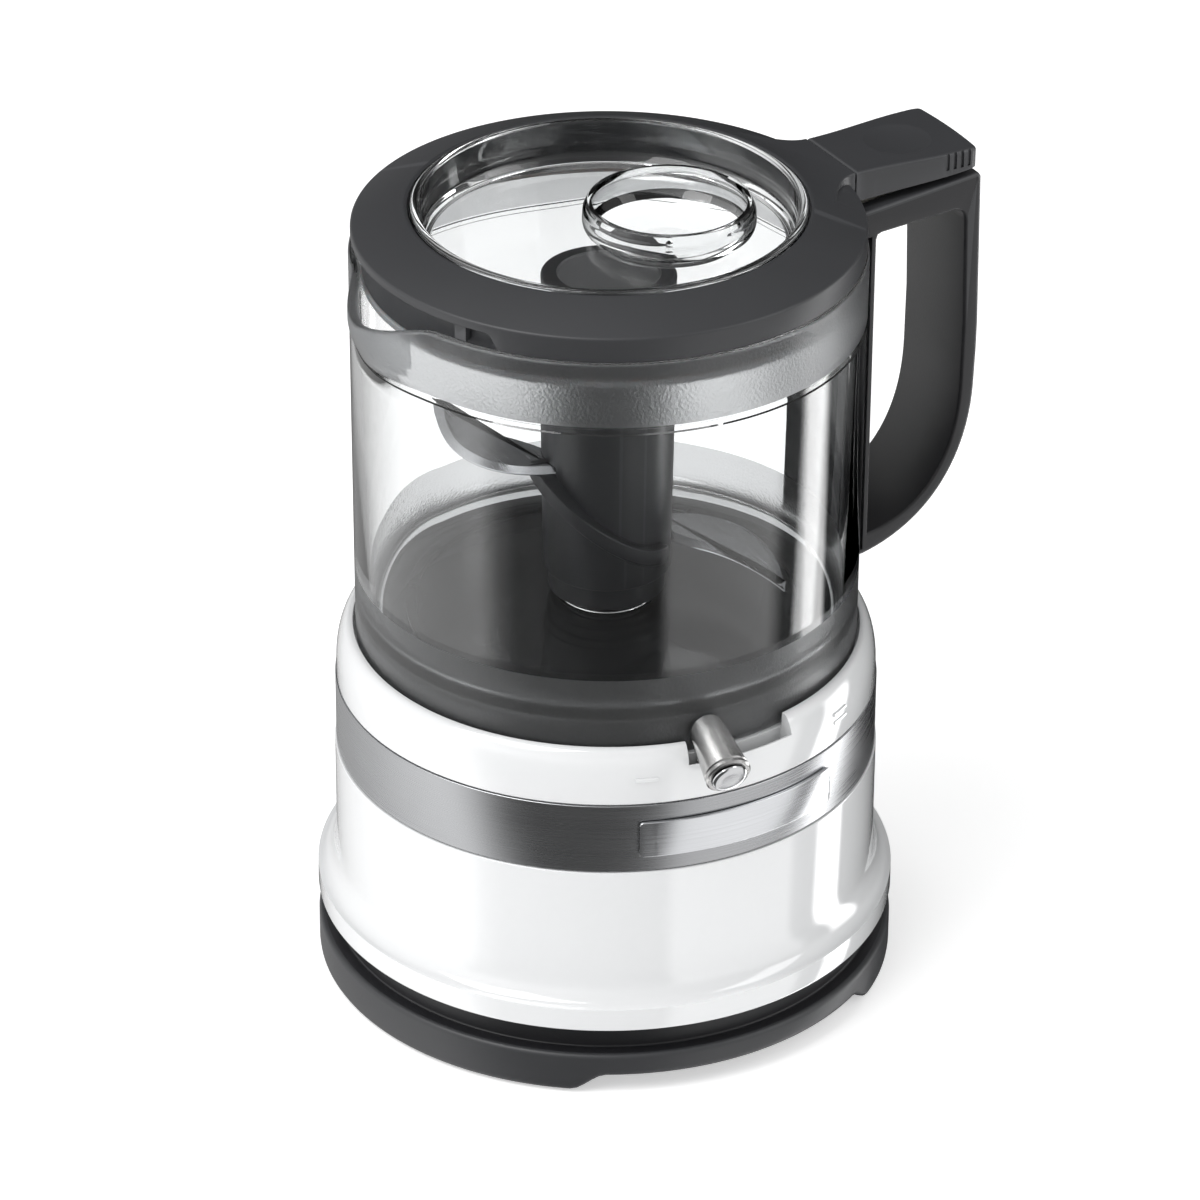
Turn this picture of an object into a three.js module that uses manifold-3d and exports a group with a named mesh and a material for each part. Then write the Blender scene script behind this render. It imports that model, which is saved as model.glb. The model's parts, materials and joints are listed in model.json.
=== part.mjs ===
// Compact food processor with a clear work bowl, a clear lid window and a pulse paddle over its handle.
// Lengths are millimetres and +Z is up. Heights in this file are measured from the surface that the
// feet stand on, and radii from the drive axis. The handle points along +X, the pouring spout along -X
// and the speed lever stands at the front, along -Y. The finished group is lowered by UNDERSIDE, so
// its origin is on the drive axis in the flat underside of the bottom cover.
import * as THREE from 'three';
import { mergeVertices } from 'three/addons/utils/BufferGeometryUtils.js';
import Module from 'manifold-3d';

const wasm = await Module();
wasm.setup();

// ---------------------------------------------------------------- driving dimensions
const GAP = 0.3;                 // clearance between pieces that sit against each other
const UNDERSIDE = 5.2;           // bottom cover's flat underside above the feet
const BASE_R = 75;               // skirt of the housing and rim of the bottom cover
const WALL_R = 70;               // straight wall of the housing
const WALL_T = 2.4;              // housing wall
const NECK_R = 70.6;             // recessed neck between bottom cover and skirt
const SKIRT_Z = 19;              // lower edge of the white housing
const BAND_Z = [63.3, 82.3];     // brushed trim band
const LEDGE_Z = 92.6;            // ledge that the bowl's foot stands on
const SEAT_Z = 96.8;             // top edge of the housing
const BOWL_R = 64.2;             // bowl's outer radius at its foot
const BOWL_TOP_R = 64.5;         // bowl's outer radius at its rim
const BOWL_T = 2.4;              // bowl wall
const FLOOR_Z = 104.8;           // bowl floor, inside
const RIM_Z = 202.4;             // bowl rim
const SPOUT_DIP = 4.5;           // how far the spout's lip lies below the rim
const SPOUT_OUT = 6.5;           // how far the spout reaches past the wall
const LID_R = 63.9;              // lid ring
const LID_EDGE_Z = 208.7;        // top of the lid's side wall
const CREST_Z = 214.0;           // highest line of the lid ring
const WINDOW_R = 49.3;           // clear window
const CUP_X = 17.3;              // drip cup's centre, towards the handle
const CUP_R = 20.6;              // drip cup's rim
const HUB_Z = [112.8, 193];      // blade hub, bottom and top
const COLLAR_Z = 106.6;          // lower end of the hub's collar
const LOWER_BLADE_Z = 120;       // underside of the lower blade
const UPPER_BLADE_Z = 144;       // underside of the upper blade
const GRIP_X = 101.6;            // outer face of the handle
const GRIP_HALF = 14;            // half the handle's width
const MOTOR_X = -30;             // motor shaft's distance from the drive axis
const MODULE = 1.5;                // gear tooth size
const GEAR_TEETH = 32;
const PINION_TEETH = 8;
const LEVER_REST = -97.5;        // speed lever's direction at its slow end, in degrees
const LEVER_TRAVEL = 15;         // degrees to its fast end
const PUSH_X = 66.7;             // push rod's distance from the drive axis

// ---------------------------------------------------------------- solids
function toSolid(geometry) {
  const bare = geometry.clone();
  bare.deleteAttribute('normal');
  bare.deleteAttribute('uv');
  const merged = mergeVertices(bare, 1e-4);
  const points = Float32Array.from(merged.attributes.position.array);
  const faces = wholeTriangles(merged.index.array);
  if (signedVolume(points, faces) < 0) faces.reverse();
  return new wasm.Manifold(new wasm.Mesh({
    numProp: 3,
    vertProperties: points,
    triVerts: Uint32Array.from(faces),
  }));
}

function wholeTriangles(index) {
  const kept = [];
  for (let i = 0; i < index.length; i += 3) {
    const [a, b, c] = [index[i], index[i + 1], index[i + 2]];
    if (a !== b && b !== c && c !== a) kept.push(a, b, c);
  }
  return kept;
}

function signedVolume(points, faces) {
  const corner = (i) => new THREE.Vector3().fromArray(points, 3 * i);
  let sum = 0;
  for (let i = 0; i < faces.length; i += 3) {
    sum += corner(faces[i]).dot(corner(faces[i + 1]).cross(corner(faces[i + 2])));
  }
  return sum;
}

function toGeometry(solid) {
  const raw = solid.getMesh();
  const geometry = new THREE.BufferGeometry();
  geometry.setAttribute('position', new THREE.Float32BufferAttribute(raw.vertProperties, 3));
  geometry.setIndex(Array.from(raw.triVerts));
  geometry.computeVertexNormals();
  return geometry;
}

function join(first, ...rest) {
  const solid = rest.reduce((sum, g) => sum.add(toSolid(g)), toSolid(first));
  return toGeometry(solid);
}

function cut(first, ...tools) {
  const solid = tools.reduce((sum, g) => sum.subtract(toSolid(g)), toSolid(first));
  return toGeometry(solid);
}

function meet(first, second) {
  return toGeometry(toSolid(first).intersect(toSolid(second)));
}

// ---------------------------------------------------------------- basic shapes
const DEG = Math.PI / 180;
const polar = (r, degrees) => [r * Math.cos(degrees * DEG), r * Math.sin(degrees * DEG)];

function ease(t) {
  const c = Math.min(1, Math.max(0, t));
  return c * c * (3 - 2 * c);
}

// Angle between two directions in degrees, from 0 to 180.
function angleBetween(a, b) {
  return Math.abs(((a - b + 540) % 360) - 180);
}

function turned(profile, segments = 48) {
  const points = profile.map(([r, z]) => new THREE.Vector2(r, z));
  return new THREE.LatheGeometry(points, segments).rotateX(Math.PI / 2);
}

// A ring: a closed section of [r, z] points that may change with the angle.
function ring(section, segments = 64) {
  const positions = [];
  const index = [];
  let count = 0;
  for (let i = 0; i < segments; i++) {
    const degrees = (360 * i) / segments;
    const points = section(degrees);
    count = points.length;
    for (const [r, z] of points) positions.push(...polar(r, degrees), z);
  }
  for (let i = 0; i < segments; i++) {
    const next = (i + 1) % segments;
    for (let j = 0; j < count; j++) {
      const up = (j + 1) % count;
      const [a, b, c, d] = [i * count + j, next * count + j, next * count + up, i * count + up];
      index.push(a, b, c, a, c, d);
    }
  }
  const geometry = new THREE.BufferGeometry();
  geometry.setAttribute('position', new THREE.Float32BufferAttribute(positions, 3));
  geometry.setIndex(index);
  return geometry;
}

const hoop = (inner, outer, z0, z1, segments) =>
  ring(() => [[inner, z0], [outer, z0], [outer, z1], [inner, z1]], segments);

function post(r, z0, z1, x = 0, y = 0, segments = 20) {
  return new THREE.CylinderGeometry(r, r, z1 - z0, segments)
    .rotateX(Math.PI / 2)
    .translate(x, y, (z0 + z1) / 2);
}

function pinAlongY(r, length, x, y, z, segments = 16) {
  return new THREE.CylinderGeometry(r, r, length, segments).translate(x, y, z);
}

function block(x, y, z) {
  return new THREE.BoxGeometry(x[1] - x[0], y[1] - y[0], z[1] - z[0])
    .translate((x[0] + x[1]) / 2, (y[0] + y[1]) / 2, (z[0] + z[1]) / 2);
}

function plate(shape, z0, z1, curveSegments = 8) {
  return new THREE.ExtrudeGeometry(shape, { depth: z1 - z0, bevelEnabled: false, curveSegments })
    .translate(0, 0, z0);
}

// A plate in the XZ plane, centred on y = 0.
function upright(shape, halfWidth, curveSegments = 10) {
  return new THREE.ExtrudeGeometry(shape, { depth: 2 * halfWidth, bevelEnabled: false, curveSegments })
    .rotateX(Math.PI / 2)
    .translate(0, halfWidth, 0);
}

// Part of a flat ring between two directions, in degrees.
function sector(inner, outer, from, to, z0, z1, steps = 10) {
  const shape = new THREE.Shape();
  for (let i = 0; i <= steps; i++) {
    const [x, y] = polar(outer, from + ((to - from) * i) / steps);
    if (i === 0) shape.moveTo(x, y);
    else shape.lineTo(x, y);
  }
  for (let i = steps; i >= 0; i--) shape.lineTo(...polar(inner, from + ((to - from) * i) / steps));
  shape.closePath();
  return plate(shape, z0, z1);
}

function coil(r, wire, z0, z1, turns, x, y) {
  const path = new THREE.Curve();
  const [low, high] = [z0 + wire, z1 - wire];
  path.getPoint = (t, out = new THREE.Vector3()) => {
    const a = 2 * Math.PI * turns * t;
    return out.set(x + r * Math.cos(a), y + r * Math.sin(a), low + (high - low) * t);
  };
  const section = new THREE.Shape();
  section.absarc(0, 0, wire, 0, 2 * Math.PI);
  return new THREE.ExtrudeGeometry(section, {
    steps: turns * 7,
    bevelEnabled: false,
    extrudePath: path,
    curveSegments: 3,
  });
}

function screw(x, y, z, headR, headT, shankR, length, headBelow) {
  const sign = headBelow ? 1 : -1;
  const seat = z + sign * headT;
  const head = post(headR, Math.min(z, seat), Math.max(z, seat), x, y, 12);
  const end = seat + sign * length;
  const shank = post(shankR, Math.min(seat - sign * 0.2, end), Math.max(seat - sign * 0.2, end), x, y, 8);
  const slot = block([x - headR * 0.65, x + headR * 0.65], [y - 0.4, y + 0.4], [z - 0.5, z + 0.5]);
  return cut(join(head, shank), slot);
}

// Straight-flanked spur gear with running backlash.
function gear(teeth, bore, z0, z1, phase) {
  const pitch = (MODULE * teeth) / 2;
  const step = 360 / teeth;
  const [root, tip] = [pitch - 1.2 * MODULE, pitch + 0.85 * MODULE];
  const flanks = [[-0.31, root], [-0.13, tip], [0.13, tip], [0.31, root]];
  const shape = new THREE.Shape();
  for (let i = 0; i < teeth; i++) {
    for (const [offset, r] of flanks) {
      const [x, y] = polar(r, phase + (i + offset) * step);
      if (i === 0 && offset < -0.3) shape.moveTo(x, y);
      else shape.lineTo(x, y);
    }
  }
  shape.closePath();
  const hole = new THREE.Path();
  hole.absarc(0, 0, bore, 0, 2 * Math.PI, true);
  shape.holes.push(hole);
  return plate(shape, z0, z1, 6);
}

// ---------------------------------------------------------------- materials
const finish = (color, roughness, metalness = 0, extra = {}) =>
  new THREE.MeshStandardMaterial({ color, roughness, metalness, ...extra });
const MATERIALS = {
  charcoal: finish(0x4a4a4b, 0.55),
  blackPlastic: finish(0x1d1d1e, 0.6),
  whiteGloss: finish(0xf4f4f2, 0.12),
  brushed: finish(0x9b9b9b, 0.35, 1),
  nickel: finish(0xb4b4b2, 0.25, 1),
  chrome: finish(0xd8d8d8, 0.06, 1),
  steel: finish(0xc4c6c8, 0.2, 1),
  darkSteel: finish(0x707274, 0.4, 1),
  bronze: finish(0xa9793c, 0.4, 1),
  copper: finish(0xb06a3c, 0.4, 1),
  clear: finish(0xf2f4f5, 0.03, 0, { transparent: true, opacity: 0.3 }),
  rubber: finish(0x242424, 0.9),
  silicone: finish(0x8f9092, 0.6),
  nylon: finish(0xe6e0cf, 0.5),
  board: finish(0x2f6b45, 0.6),
};

const product = new THREE.Group();
product.position.z = -UNDERSIDE;

function add(name, geometry, material) {
  const mesh = new THREE.Mesh(geometry, MATERIALS[material]);
  mesh.name = name;
  product.add(mesh);
  return mesh;
}

const around = (count, start = 0) => Array.from({ length: count }, (_, i) => start + (360 * i) / count);

// ---------------------------------------------------------------- bottom cover, feet and inlet
const FOOT_DIRECTIONS = [32, 148, 212, 328];
const FOOT_R = 66.8;
const BOSS_DIRECTIONS = [70, 110, 250, 290];
const BOSS_R = 63.4;

// 1 inside a foot lobe, 0 between lobes, with a ramp at each end.
function lobe(degrees) {
  const nearest = Math.min(...FOOT_DIRECTIONS.map((d) => angleBetween(degrees, d)));
  return ease((28.5 - nearest) / 7);
}

function bottomCover() {
  const rim = ring((degrees) => {
    const low = UNDERSIDE - 4.6 * lobe(degrees);
    return [
      [59.5, 8.2], [59.5, low], [BASE_R - 1.2, low], [BASE_R, low + 1.4], [BASE_R, 10.4],
      [BASE_R - 1.2, 11.6], [NECK_R, 11.6], [NECK_R, 23], [NECK_R - 2.2, 23], [NECK_R - 2.2, 8.2],
    ];
  }, 40);
  const floor = post(60.5, UNDERSIDE, 8.2, 0, 0, 24);
  const posts = [block([31, 38], [-27, -24.4], [8, 24]), block([31, 38], [24.4, 27], [8, 24])];
  const cover = join(rim, floor, ...posts);
  const pockets = FOOT_DIRECTIONS.map((d) => post(6.4, 0, 2.2, ...polar(FOOT_R, d), 16));
  const bores = BOSS_DIRECTIONS.flatMap((d) => [
    post(1.9, 0, 12, ...polar(BOSS_R, d), 8),
    post(3.8, 0, 6.9, ...polar(BOSS_R, d), 12),
  ]);
  const vents = [-2, -1, 0, 1, 2].map((i) => block([-46, -14], [i * 6 - 1.3, i * 6 + 1.3], [0, 12]));
  const grooves = [-25.7, 25.7].map((y) => block([33.2, 35.8], [y - 1.6, y + 1.6], [10, 30]));
  const inlet = pinAlongY(3.9, 12, 0, NECK_R, 15.6);
  return cut(cover, ...pockets, ...bores, ...vents, ...grooves, inlet);
}

function cordInlet() {
  const sleeve = pinAlongY(3.5, 5, 0, 69.4, 15.6, 20);
  return cut(sleeve, pinAlongY(2.3, 12, 0, 69.4, 15.6, 14));
}

add('bottom_cover', bottomCover(), 'charcoal');
FOOT_DIRECTIONS.forEach((d, i) => {
  const [x, y] = polar(FOOT_R, d);
  add(`rubber_foot_${i + 1}`, toGeometry(toSolid(post(6, 0, 1.9, x, y, 16))), 'rubber');
});
BOSS_DIRECTIONS.forEach((d, i) => {
  const [x, y] = polar(BOSS_R, d);
  add(`cover_screw_${i + 1}`, screw(x, y, 5.6, 3.2, 1.1, 1.35, 9, true), 'darkSteel');
});
add('cord_inlet', cordInlet(), 'blackPlastic');

// ---------------------------------------------------------------- housing
// Outer outline of the housing from its skirt to the bowl seat, as [r, z].
function housingOutline() {
  const flare = [0.33, 0.66, 1].map((t) => [
    BASE_R - (BASE_R - WALL_R - 0.2) * Math.sin(t * 90 * DEG),
    25.4 + 7.6 * (1 - Math.cos(t * 90 * DEG)),
  ]);
  const shoulder = [0, 0.33, 0.66, 1].map((t) => [
    65.2 + 4.1 * Math.cos(t * 90 * DEG),
    86 + (SEAT_Z - 86) * Math.sin(t * 90 * DEG),
  ]);
  return [
    [BASE_R - 0.5, SKIRT_Z], [BASE_R, SKIRT_Z + 0.6], [BASE_R, 25.4], ...flare,
    [WALL_R, BAND_Z[0] - GAP], [WALL_R - 1.4, BAND_Z[0] - GAP],
    [WALL_R - 1.4, BAND_Z[1] + GAP], [WALL_R - 0.6, BAND_Z[1] + GAP], ...shoulder,
  ];
}

function housing() {
  const inside = [
    [BOWL_R + 0.7, SEAT_Z], [BOWL_R + 0.7, LEDGE_Z], [59.5, LEDGE_Z], [59.5, 90.4], [63.5, 90.4],
    [66.9, 85], [66.9, 64], [WALL_R - WALL_T, 60], [WALL_R - WALL_T, 34], [72.4, 25.6], [72.4, SKIRT_Z],
  ];
  const shell = ring(() => [...housingOutline(), ...inside], 32);
  const bosses = BOSS_DIRECTIONS.map((d) => post(4.4, 8.6, 68.6, ...polar(BOSS_R, d), 10));
  const blindHoles = BOSS_DIRECTIONS.flatMap((d) => [
    post(1.7, 8, 18, ...polar(BOSS_R, d), 8),
    post(1.7, 58, 70, ...polar(BOSS_R, d), 8),
  ]);
  const sweep = [LEVER_REST - 5, LEVER_REST + LEVER_TRAVEL + 5];
  const leverSlots = [sector(64.4, 68.6, ...sweep, 91, 100, 6), sector(64.4, 66.9, ...sweep, 83, 92, 6)];
  const plungerRoom = [post(2.0, 76, 100, 66, 0, 10), block([60, 66.4], [-2.8, 2.8], [80, 90.2])];
  return cut(join(shell, ...bosses), ...blindHoles, ...leverSlots, ...plungerRoom);
}

add('housing', housing(), 'whiteGloss');
add('trim_band', toGeometry(toSolid(hoop(WALL_R - 1.1, WALL_R - 0.35, ...BAND_Z, 40))), 'brushed');

// A plain raised plate on the front of the trim band, with no mark on it.
function blankPlate() {
  return sector(WALL_R - 0.05, WALL_R + 0.75, -113, -67, 67.8, 77.8, 16);
}
add('blank_plate', toGeometry(toSolid(blankPlate())), 'steel');

// ---------------------------------------------------------------- drive deck under the bowl
function driveDeck() {
  const body = ring(() => [
    [7.3, 95], [10.2, 95], [10.2, 97], [58.8, 97], [58.8, LEDGE_Z + GAP], [61.1, LEDGE_Z + GAP],
    [61.1, 99.4], [60.4, 100], [52.4, 100], [52.4, 101.2], [49.6, 101.2], [49.6, 100],
    [10.2, 100], [10.2, 112], [7.3, 112],
  ], 20);
  const notches = around(3, 30).map((d) => block([47, 56], [-4, 4], [100.02, 104]).rotateZ(d * DEG));
  return cut(body, ...notches);
}

add('drive_deck', driveDeck(), 'charcoal');
add('shaft_seal', toGeometry(toSolid(ring(() => [
  [4.7, 112.3], [10.2, 112.3], [10.2, 113.6], [6.4, 113.6], [5.2, 114.8], [4.7, 114.8],
], 16))), 'rubber');
add('upper_bush', toGeometry(toSolid(hoop(4.35, 7, 95, 108, 16))), 'bronze');
add('lower_bush', toGeometry(toSolid(hoop(4.35, 7, 69.3, 75.6, 16))), 'bronze');

// ---------------------------------------------------------------- gearbox plate and motor
function gearboxPlate() {
  const disc = join(post(65.2, 69, 72, 0, 0, 24), post(10, 71, 75.5, 0, 0, 16));
  const holes = BOSS_DIRECTIONS.map((d) => post(1.8, 60, 80, ...polar(BOSS_R, d), 8));
  const motorScrews = [-13, 13].map((y) => post(1.8, 60, 80, MOTOR_X, y, 8));
  const airSlots = [140, 165, 195, 220].map((d) => sector(54, 60, d - 8, d + 8, 60, 80, 4));
  return cut(disc, post(7.4, 60, 90, 0, 0, 16), post(6, 60, 90, MOTOR_X, 0, 12),
    ...holes, ...motorScrews, ...airSlots);
}

function motorCan() {
  const shell = ring(() => [
    [5, 68.7], [5, 67.3], [20.6, 67.3], [20.6, 22], [22, 22], [22, 67.7], [21, 68.7],
  ], 24).translate(MOTOR_X, 0, 0);
  const windows = around(4, 45).map((d) => block([18, 24], [-4, 4], [54, 62])
    .rotateZ(d * DEG).translate(MOTOR_X, 0, 0));
  const taps = [-13, 13].map((y) => post(1.65, 60, 75, MOTOR_X, y, 12));
  return cut(shell, ...windows, ...taps);
}

function motorEndBell() {
  const cap = ring(() => [[2.2, 14.4], [5.4, 14.4], [5.4, 18], [22, 18], [22, 21.7], [20.2, 21.7],
    [20.2, 20], [2.2, 20]], 20);
  return toGeometry(toSolid(cap.translate(MOTOR_X, 0, 0)));
}

add('gearbox_plate', gearboxPlate(), 'darkSteel');
BOSS_DIRECTIONS.forEach((d, i) => {
  const [x, y] = polar(BOSS_R, d);
  add(`plate_screw_${i + 1}`, screw(x, y, 73.5, 3, 1.2, 1.35, 11, false), 'darkSteel');
});
add('motor_can', motorCan(), 'darkSteel');
add('motor_end_bell', motorEndBell(), 'blackPlastic');
[-13, 13].forEach((y, i) => {
  add(`motor_screw_${i + 1}`, screw(MOTOR_X, y, 73.5, 2.6, 1.2, 1.3, 5.4, false), 'darkSteel');
});
[-1, 1].forEach((side, i) => {
  const brush = block([MOTOR_X - 2, MOTOR_X + 2], [7, 15], [24, 28]);
  if (side < 0) brush.rotateZ(Math.PI).translate(2 * MOTOR_X, 0, 0);
  add(`motor_brush_${i + 1}`, toGeometry(toSolid(brush)), 'copper');
});

// ---------------------------------------------------------------- motor rotor
function armature() {
  const shape = new THREE.Shape();
  const slots = 6;
  const steps = [[-0.36, 17], [0.12, 17], [0.14, 15.4], [0.02, 15], [0.02, 7], [0.26, 7]];
  for (let i = 0; i < slots; i++) {
    steps.forEach(([offset, r], j) => {
      const [x, y] = polar(r, ((i + offset + 0.12) * 360) / slots);
      if (i === 0 && j === 0) shape.moveTo(x, y);
      else shape.lineTo(x, y);
    });
  }
  shape.closePath();
  const core = plate(shape, 31, 53);
  const winding = hoop(4.5, 13.5, 30, 54, 16);
  return cut(join(core, winding), post(1.9, 20, 70, 0, 0, 12)).translate(MOTOR_X, 0, 0);
}

function coolingFan() {
  const hub = post(5, 57, 65, 0, 0, 16);
  const blades = around(7).map((d) => block([3, 17.5], [-0.6, 0.6], [57.6, 64.4]).rotateZ(d * DEG));
  return cut(join(hub, ...blades), post(1.9, 50, 70, 0, 0, 12)).translate(MOTOR_X, 0, 0);
}

const pinion = gear(PINION_TEETH, 1.9, 76.6, 83.4, 180 / PINION_TEETH).translate(MOTOR_X, 0, 0);
add('motor_shaft', toGeometry(toSolid(post(1.6, 16, 86, MOTOR_X, 0, 12))), 'steel');
add('armature', armature(), 'copper');
add('commutator', toGeometry(toSolid(hoop(1.9, 6.6, 23, 29.4, 20).translate(MOTOR_X, 0, 0))), 'copper');
add('cooling_fan', coolingFan(), 'blackPlastic');
add('motor_pinion', toGeometry(toSolid(pinion)), 'steel');

// ---------------------------------------------------------------- drive gear and spindle
function spindle() {
  const shaft = turned([[0, 67.4], [3.6, 67.4], [4, 67.8], [4, 167.4], [3.2, 168.4], [0, 168.4]], 12);
  const flats = [[3.1, 8], [-8, -3.1]].map((x) => block(x, [-8, 8], [153, 175]));
  return cut(shaft, ...flats);
}

function driveGear() {
  const wheel = gear(GEAR_TEETH, 4.3, 77, 83, 0);
  const boss = hoop(4.3, 9, 76.2, 88, 16);
  return join(wheel, boss);
}

add('drive_spindle', spindle(), 'steel');
add('drive_gear', driveGear(), 'nylon');

// ---------------------------------------------------------------- electrics
add('control_board', toGeometry(toSolid(block([33.7, 35.3], [-26, 26], [10.6, 60]))), 'board');
add('capacitor', toGeometry(toSolid(new THREE.CylinderGeometry(6, 6, 24, 20)
  .translate(42, -8, 24))), 'blackPlastic');

function heatSink() {
  const base = block([35.6, 38], [2, 22], [30, 56]);
  const fins = [0, 1, 2, 3, 4].map((i) => block([37.5, 47], [2 + 4.6 * i, 3.6 + 4.6 * i], [30, 56]));
  return join(base, ...fins);
}
add('heat_sink', heatSink(), 'nickel');

function microswitch() {
  const body = block([59.6, 65.4], [-6.4, 6.4], [73, 83]);
  const button = block([64, 65.2], [-1.6, 1.6], [82.5, 84.3]);
  const feet = [-5, 5].map((y) => block([60.4, 64.6], [y - 1, y + 1], [72.3, 74]));
  return join(body, button, ...feet);
}
add('microswitch', microswitch(), 'blackPlastic');

function speedSwitch() {
  const body = block([-13, 13], [-52, -43.5], [72.3, 80]);
  const slot = block([-9, 9], [-49.4, -45.8], [77, 82]);
  return cut(body, slot);
}
add('speed_switch', speedSwitch(), 'blackPlastic');

// ---------------------------------------------------------------- speed lever
const SLIDER_R = 48;
const leverAt = (r, z) => new THREE.Vector3(...polar(r, LEVER_REST), z);

// The lever's round bar runs outwards and slightly down from under the bowl.
function leverBar(from, to, r0, r1, segments) {
  const axis = new THREE.Vector3().subVectors(to, from);
  const bar = new THREE.CylinderGeometry(r1, r0, axis.length(), segments)
    .translate(0, axis.length() / 2, 0);
  const turn = new THREE.Quaternion().setFromUnitVectors(new THREE.Vector3(0, 1, 0), axis.normalize());
  return bar.applyQuaternion(turn).translate(from.x, from.y, from.z);
}

const LEVER_ROOT = leverAt(62, 100.2);
const LEVER_TIP = leverAt(79.2, 93.5);

function speedLever() {
  const bar = cut(leverBar(LEVER_ROOT, LEVER_TIP, 4.2, 5.9, 24), post(65.5, 80, 120, 0, 0, 48));
  const spread = (half) => [LEVER_REST - half, LEVER_REST + half];
  const tab = sector(65.5, 66.5, ...spread(2.6), 84, 97, 4);
  const arm = sector(50, 66.5, ...spread(2.6), 84.2, 87, 4);
  const carriage = sector(50, 56, LEVER_REST - 34, LEVER_REST + 34, 84.2, 87, 12);
  const fork = sector(45.4, 51, ...spread(4.4), 84.2, 87, 4);
  const bite = block([SLIDER_R - 4, SLIDER_R + 1.9], [-1.9, 1.9], [80, 90]).rotateZ(LEVER_REST * DEG);
  return cut(join(bar, tab, arm, carriage, fork), bite);
}

function leverCap() {
  const out = new THREE.Vector3().subVectors(LEVER_TIP, LEVER_ROOT).normalize();
  const from = LEVER_TIP.clone().addScaledVector(out, GAP);
  return leverBar(from, from.clone().addScaledVector(out, 0.9), 4.6, 4.4, 24);
}

const [SLIDER_X] = polar(SLIDER_R, LEVER_REST);
add('speed_lever', speedLever(), 'nickel');
add('lever_cap', toGeometry(toSolid(leverCap())), 'chrome');
add('switch_slider', join(
  block([SLIDER_X - 2, SLIDER_X + 2], [-49, -46.2], [77.4, 80.6]),
  post(1.4, 80, 86.8, SLIDER_X, -SLIDER_R + 0.4, 14),
), 'nylon');

// ---------------------------------------------------------------- bowl
function spoutAt(degrees) {
  return ease((20 - angleBetween(degrees, 180)) / 20);
}

function bowlSection(degrees) {
  const spout = spoutAt(degrees);
  const dip = SPOUT_DIP * spout;
  const flare = (z) => SPOUT_OUT * spout * ease((z - 178) / 18);
  const radiusAt = (z) => BOWL_R + ((BOWL_TOP_R - BOWL_R) * (z - 97)) / (RIM_Z - 97);
  const heights = [178, 185, 192, 198 - dip * 0.5];
  const outer = heights.map((z) => [radiusAt(z) + flare(z), z]);
  const inner = [...heights].reverse().map((z) => [radiusAt(z) - BOWL_T + flare(z), z]);
  const top = RIM_Z - dip;
  return [
    [BOWL_R - 0.3, LEDGE_Z + GAP + 0.2], [BOWL_R, 96], [radiusAt(115), 115], ...outer,
    [BOWL_TOP_R + flare(RIM_Z), top - 0.6], [BOWL_TOP_R - 0.5 + flare(RIM_Z), top],
    [BOWL_TOP_R - BOWL_T + 0.4 + flare(RIM_Z), top], ...inner,
    [radiusAt(112) - BOWL_T, 111], [61.7, 104], [61.7, LEDGE_Z + GAP + 0.2],
  ];
}

// Floor with the rounded corner to the wall and the tube that the spindle comes up through.
function bowlFloor() {
  return ring(() => [
    [61.65, 102.4], [61.65, 109.4], [60.6, 106.9], [57.6, FLOOR_Z], [14.4, FLOOR_Z], [12.8, 106.4],
    [12.6, 149], [12, 150], [10.8, 150], [10.8, 102.4],
  ], 36);
}

// Grip loop in side view: top bar, upright, rounded lower corner and foot, with the finger hole.
function handleOutline() {
  const outline = new THREE.Shape();
  outline.moveTo(63, 201);
  outline.lineTo(GRIP_X - 2, 204.7);
  outline.quadraticCurveTo(GRIP_X - 0.9, 204.8, GRIP_X - 0.8, 203.4);
  outline.lineTo(GRIP_X, 162);
  outline.lineTo(GRIP_X - 0.4, 146);
  outline.bezierCurveTo(GRIP_X - 0.9, 122, 88, 106.6, 68.5, 102.6);
  outline.lineTo(63, 102.6);
  outline.closePath();
  const hole = new THREE.Path();
  hole.moveTo(69.9, 108.6);
  hole.bezierCurveTo(84, 110.8, 96.4, 121, 96.9, 146);
  hole.lineTo(97.1, 162);
  hole.lineTo(96.3, 192);
  hole.quadraticCurveTo(96, 195.7, 92.6, 195.7);
  hole.lineTo(71.4, 194.6);
  hole.quadraticCurveTo(69.9, 194.6, 69.9, 193);
  hole.closePath();
  outline.holes.push(hole);
  return outline;
}

function bowlHandle() {
  const loop = upright(handleOutline(), GRIP_HALF);
  const bowlClearance = post(BOWL_TOP_R + 0.5, 90, 220, 0, 0, 60);
  const columnPocket = block([60, 68.4], [-20, 20], [104.2, 194.2]);
  const leverWell = block([65.2, 98.6], [-9, 9], [197.3, 210]);
  const rodSlot = block([65.2, 68.2], [-3.5, 3.5], [90, 200]);
  return cut(loop, bowlClearance, columnPocket, leverWell, rodSlot,
    pinAlongY(1.5, 24, 94.5, 0, 201));
}

function handleColumn() {
  const body = block([60, 68.1], [-13.4, 13.4], [104.5, 193.9]);
  const bowlClearance = post(BOWL_TOP_R + 0.4, 90, 220, 0, 0, 60);
  const channel = block([65.4, 70], [-3.5, 3.5], [100, 200]);
  return cut(body, bowlClearance, channel);
}

add('bowl', toGeometry(toSolid(ring(bowlSection, 36))), 'clear');
add('bowl_floor', toGeometry(toSolid(bowlFloor())), 'clear');
add('bowl_handle', bowlHandle(), 'charcoal');
add('handle_column', handleColumn(), 'blackPlastic');

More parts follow.
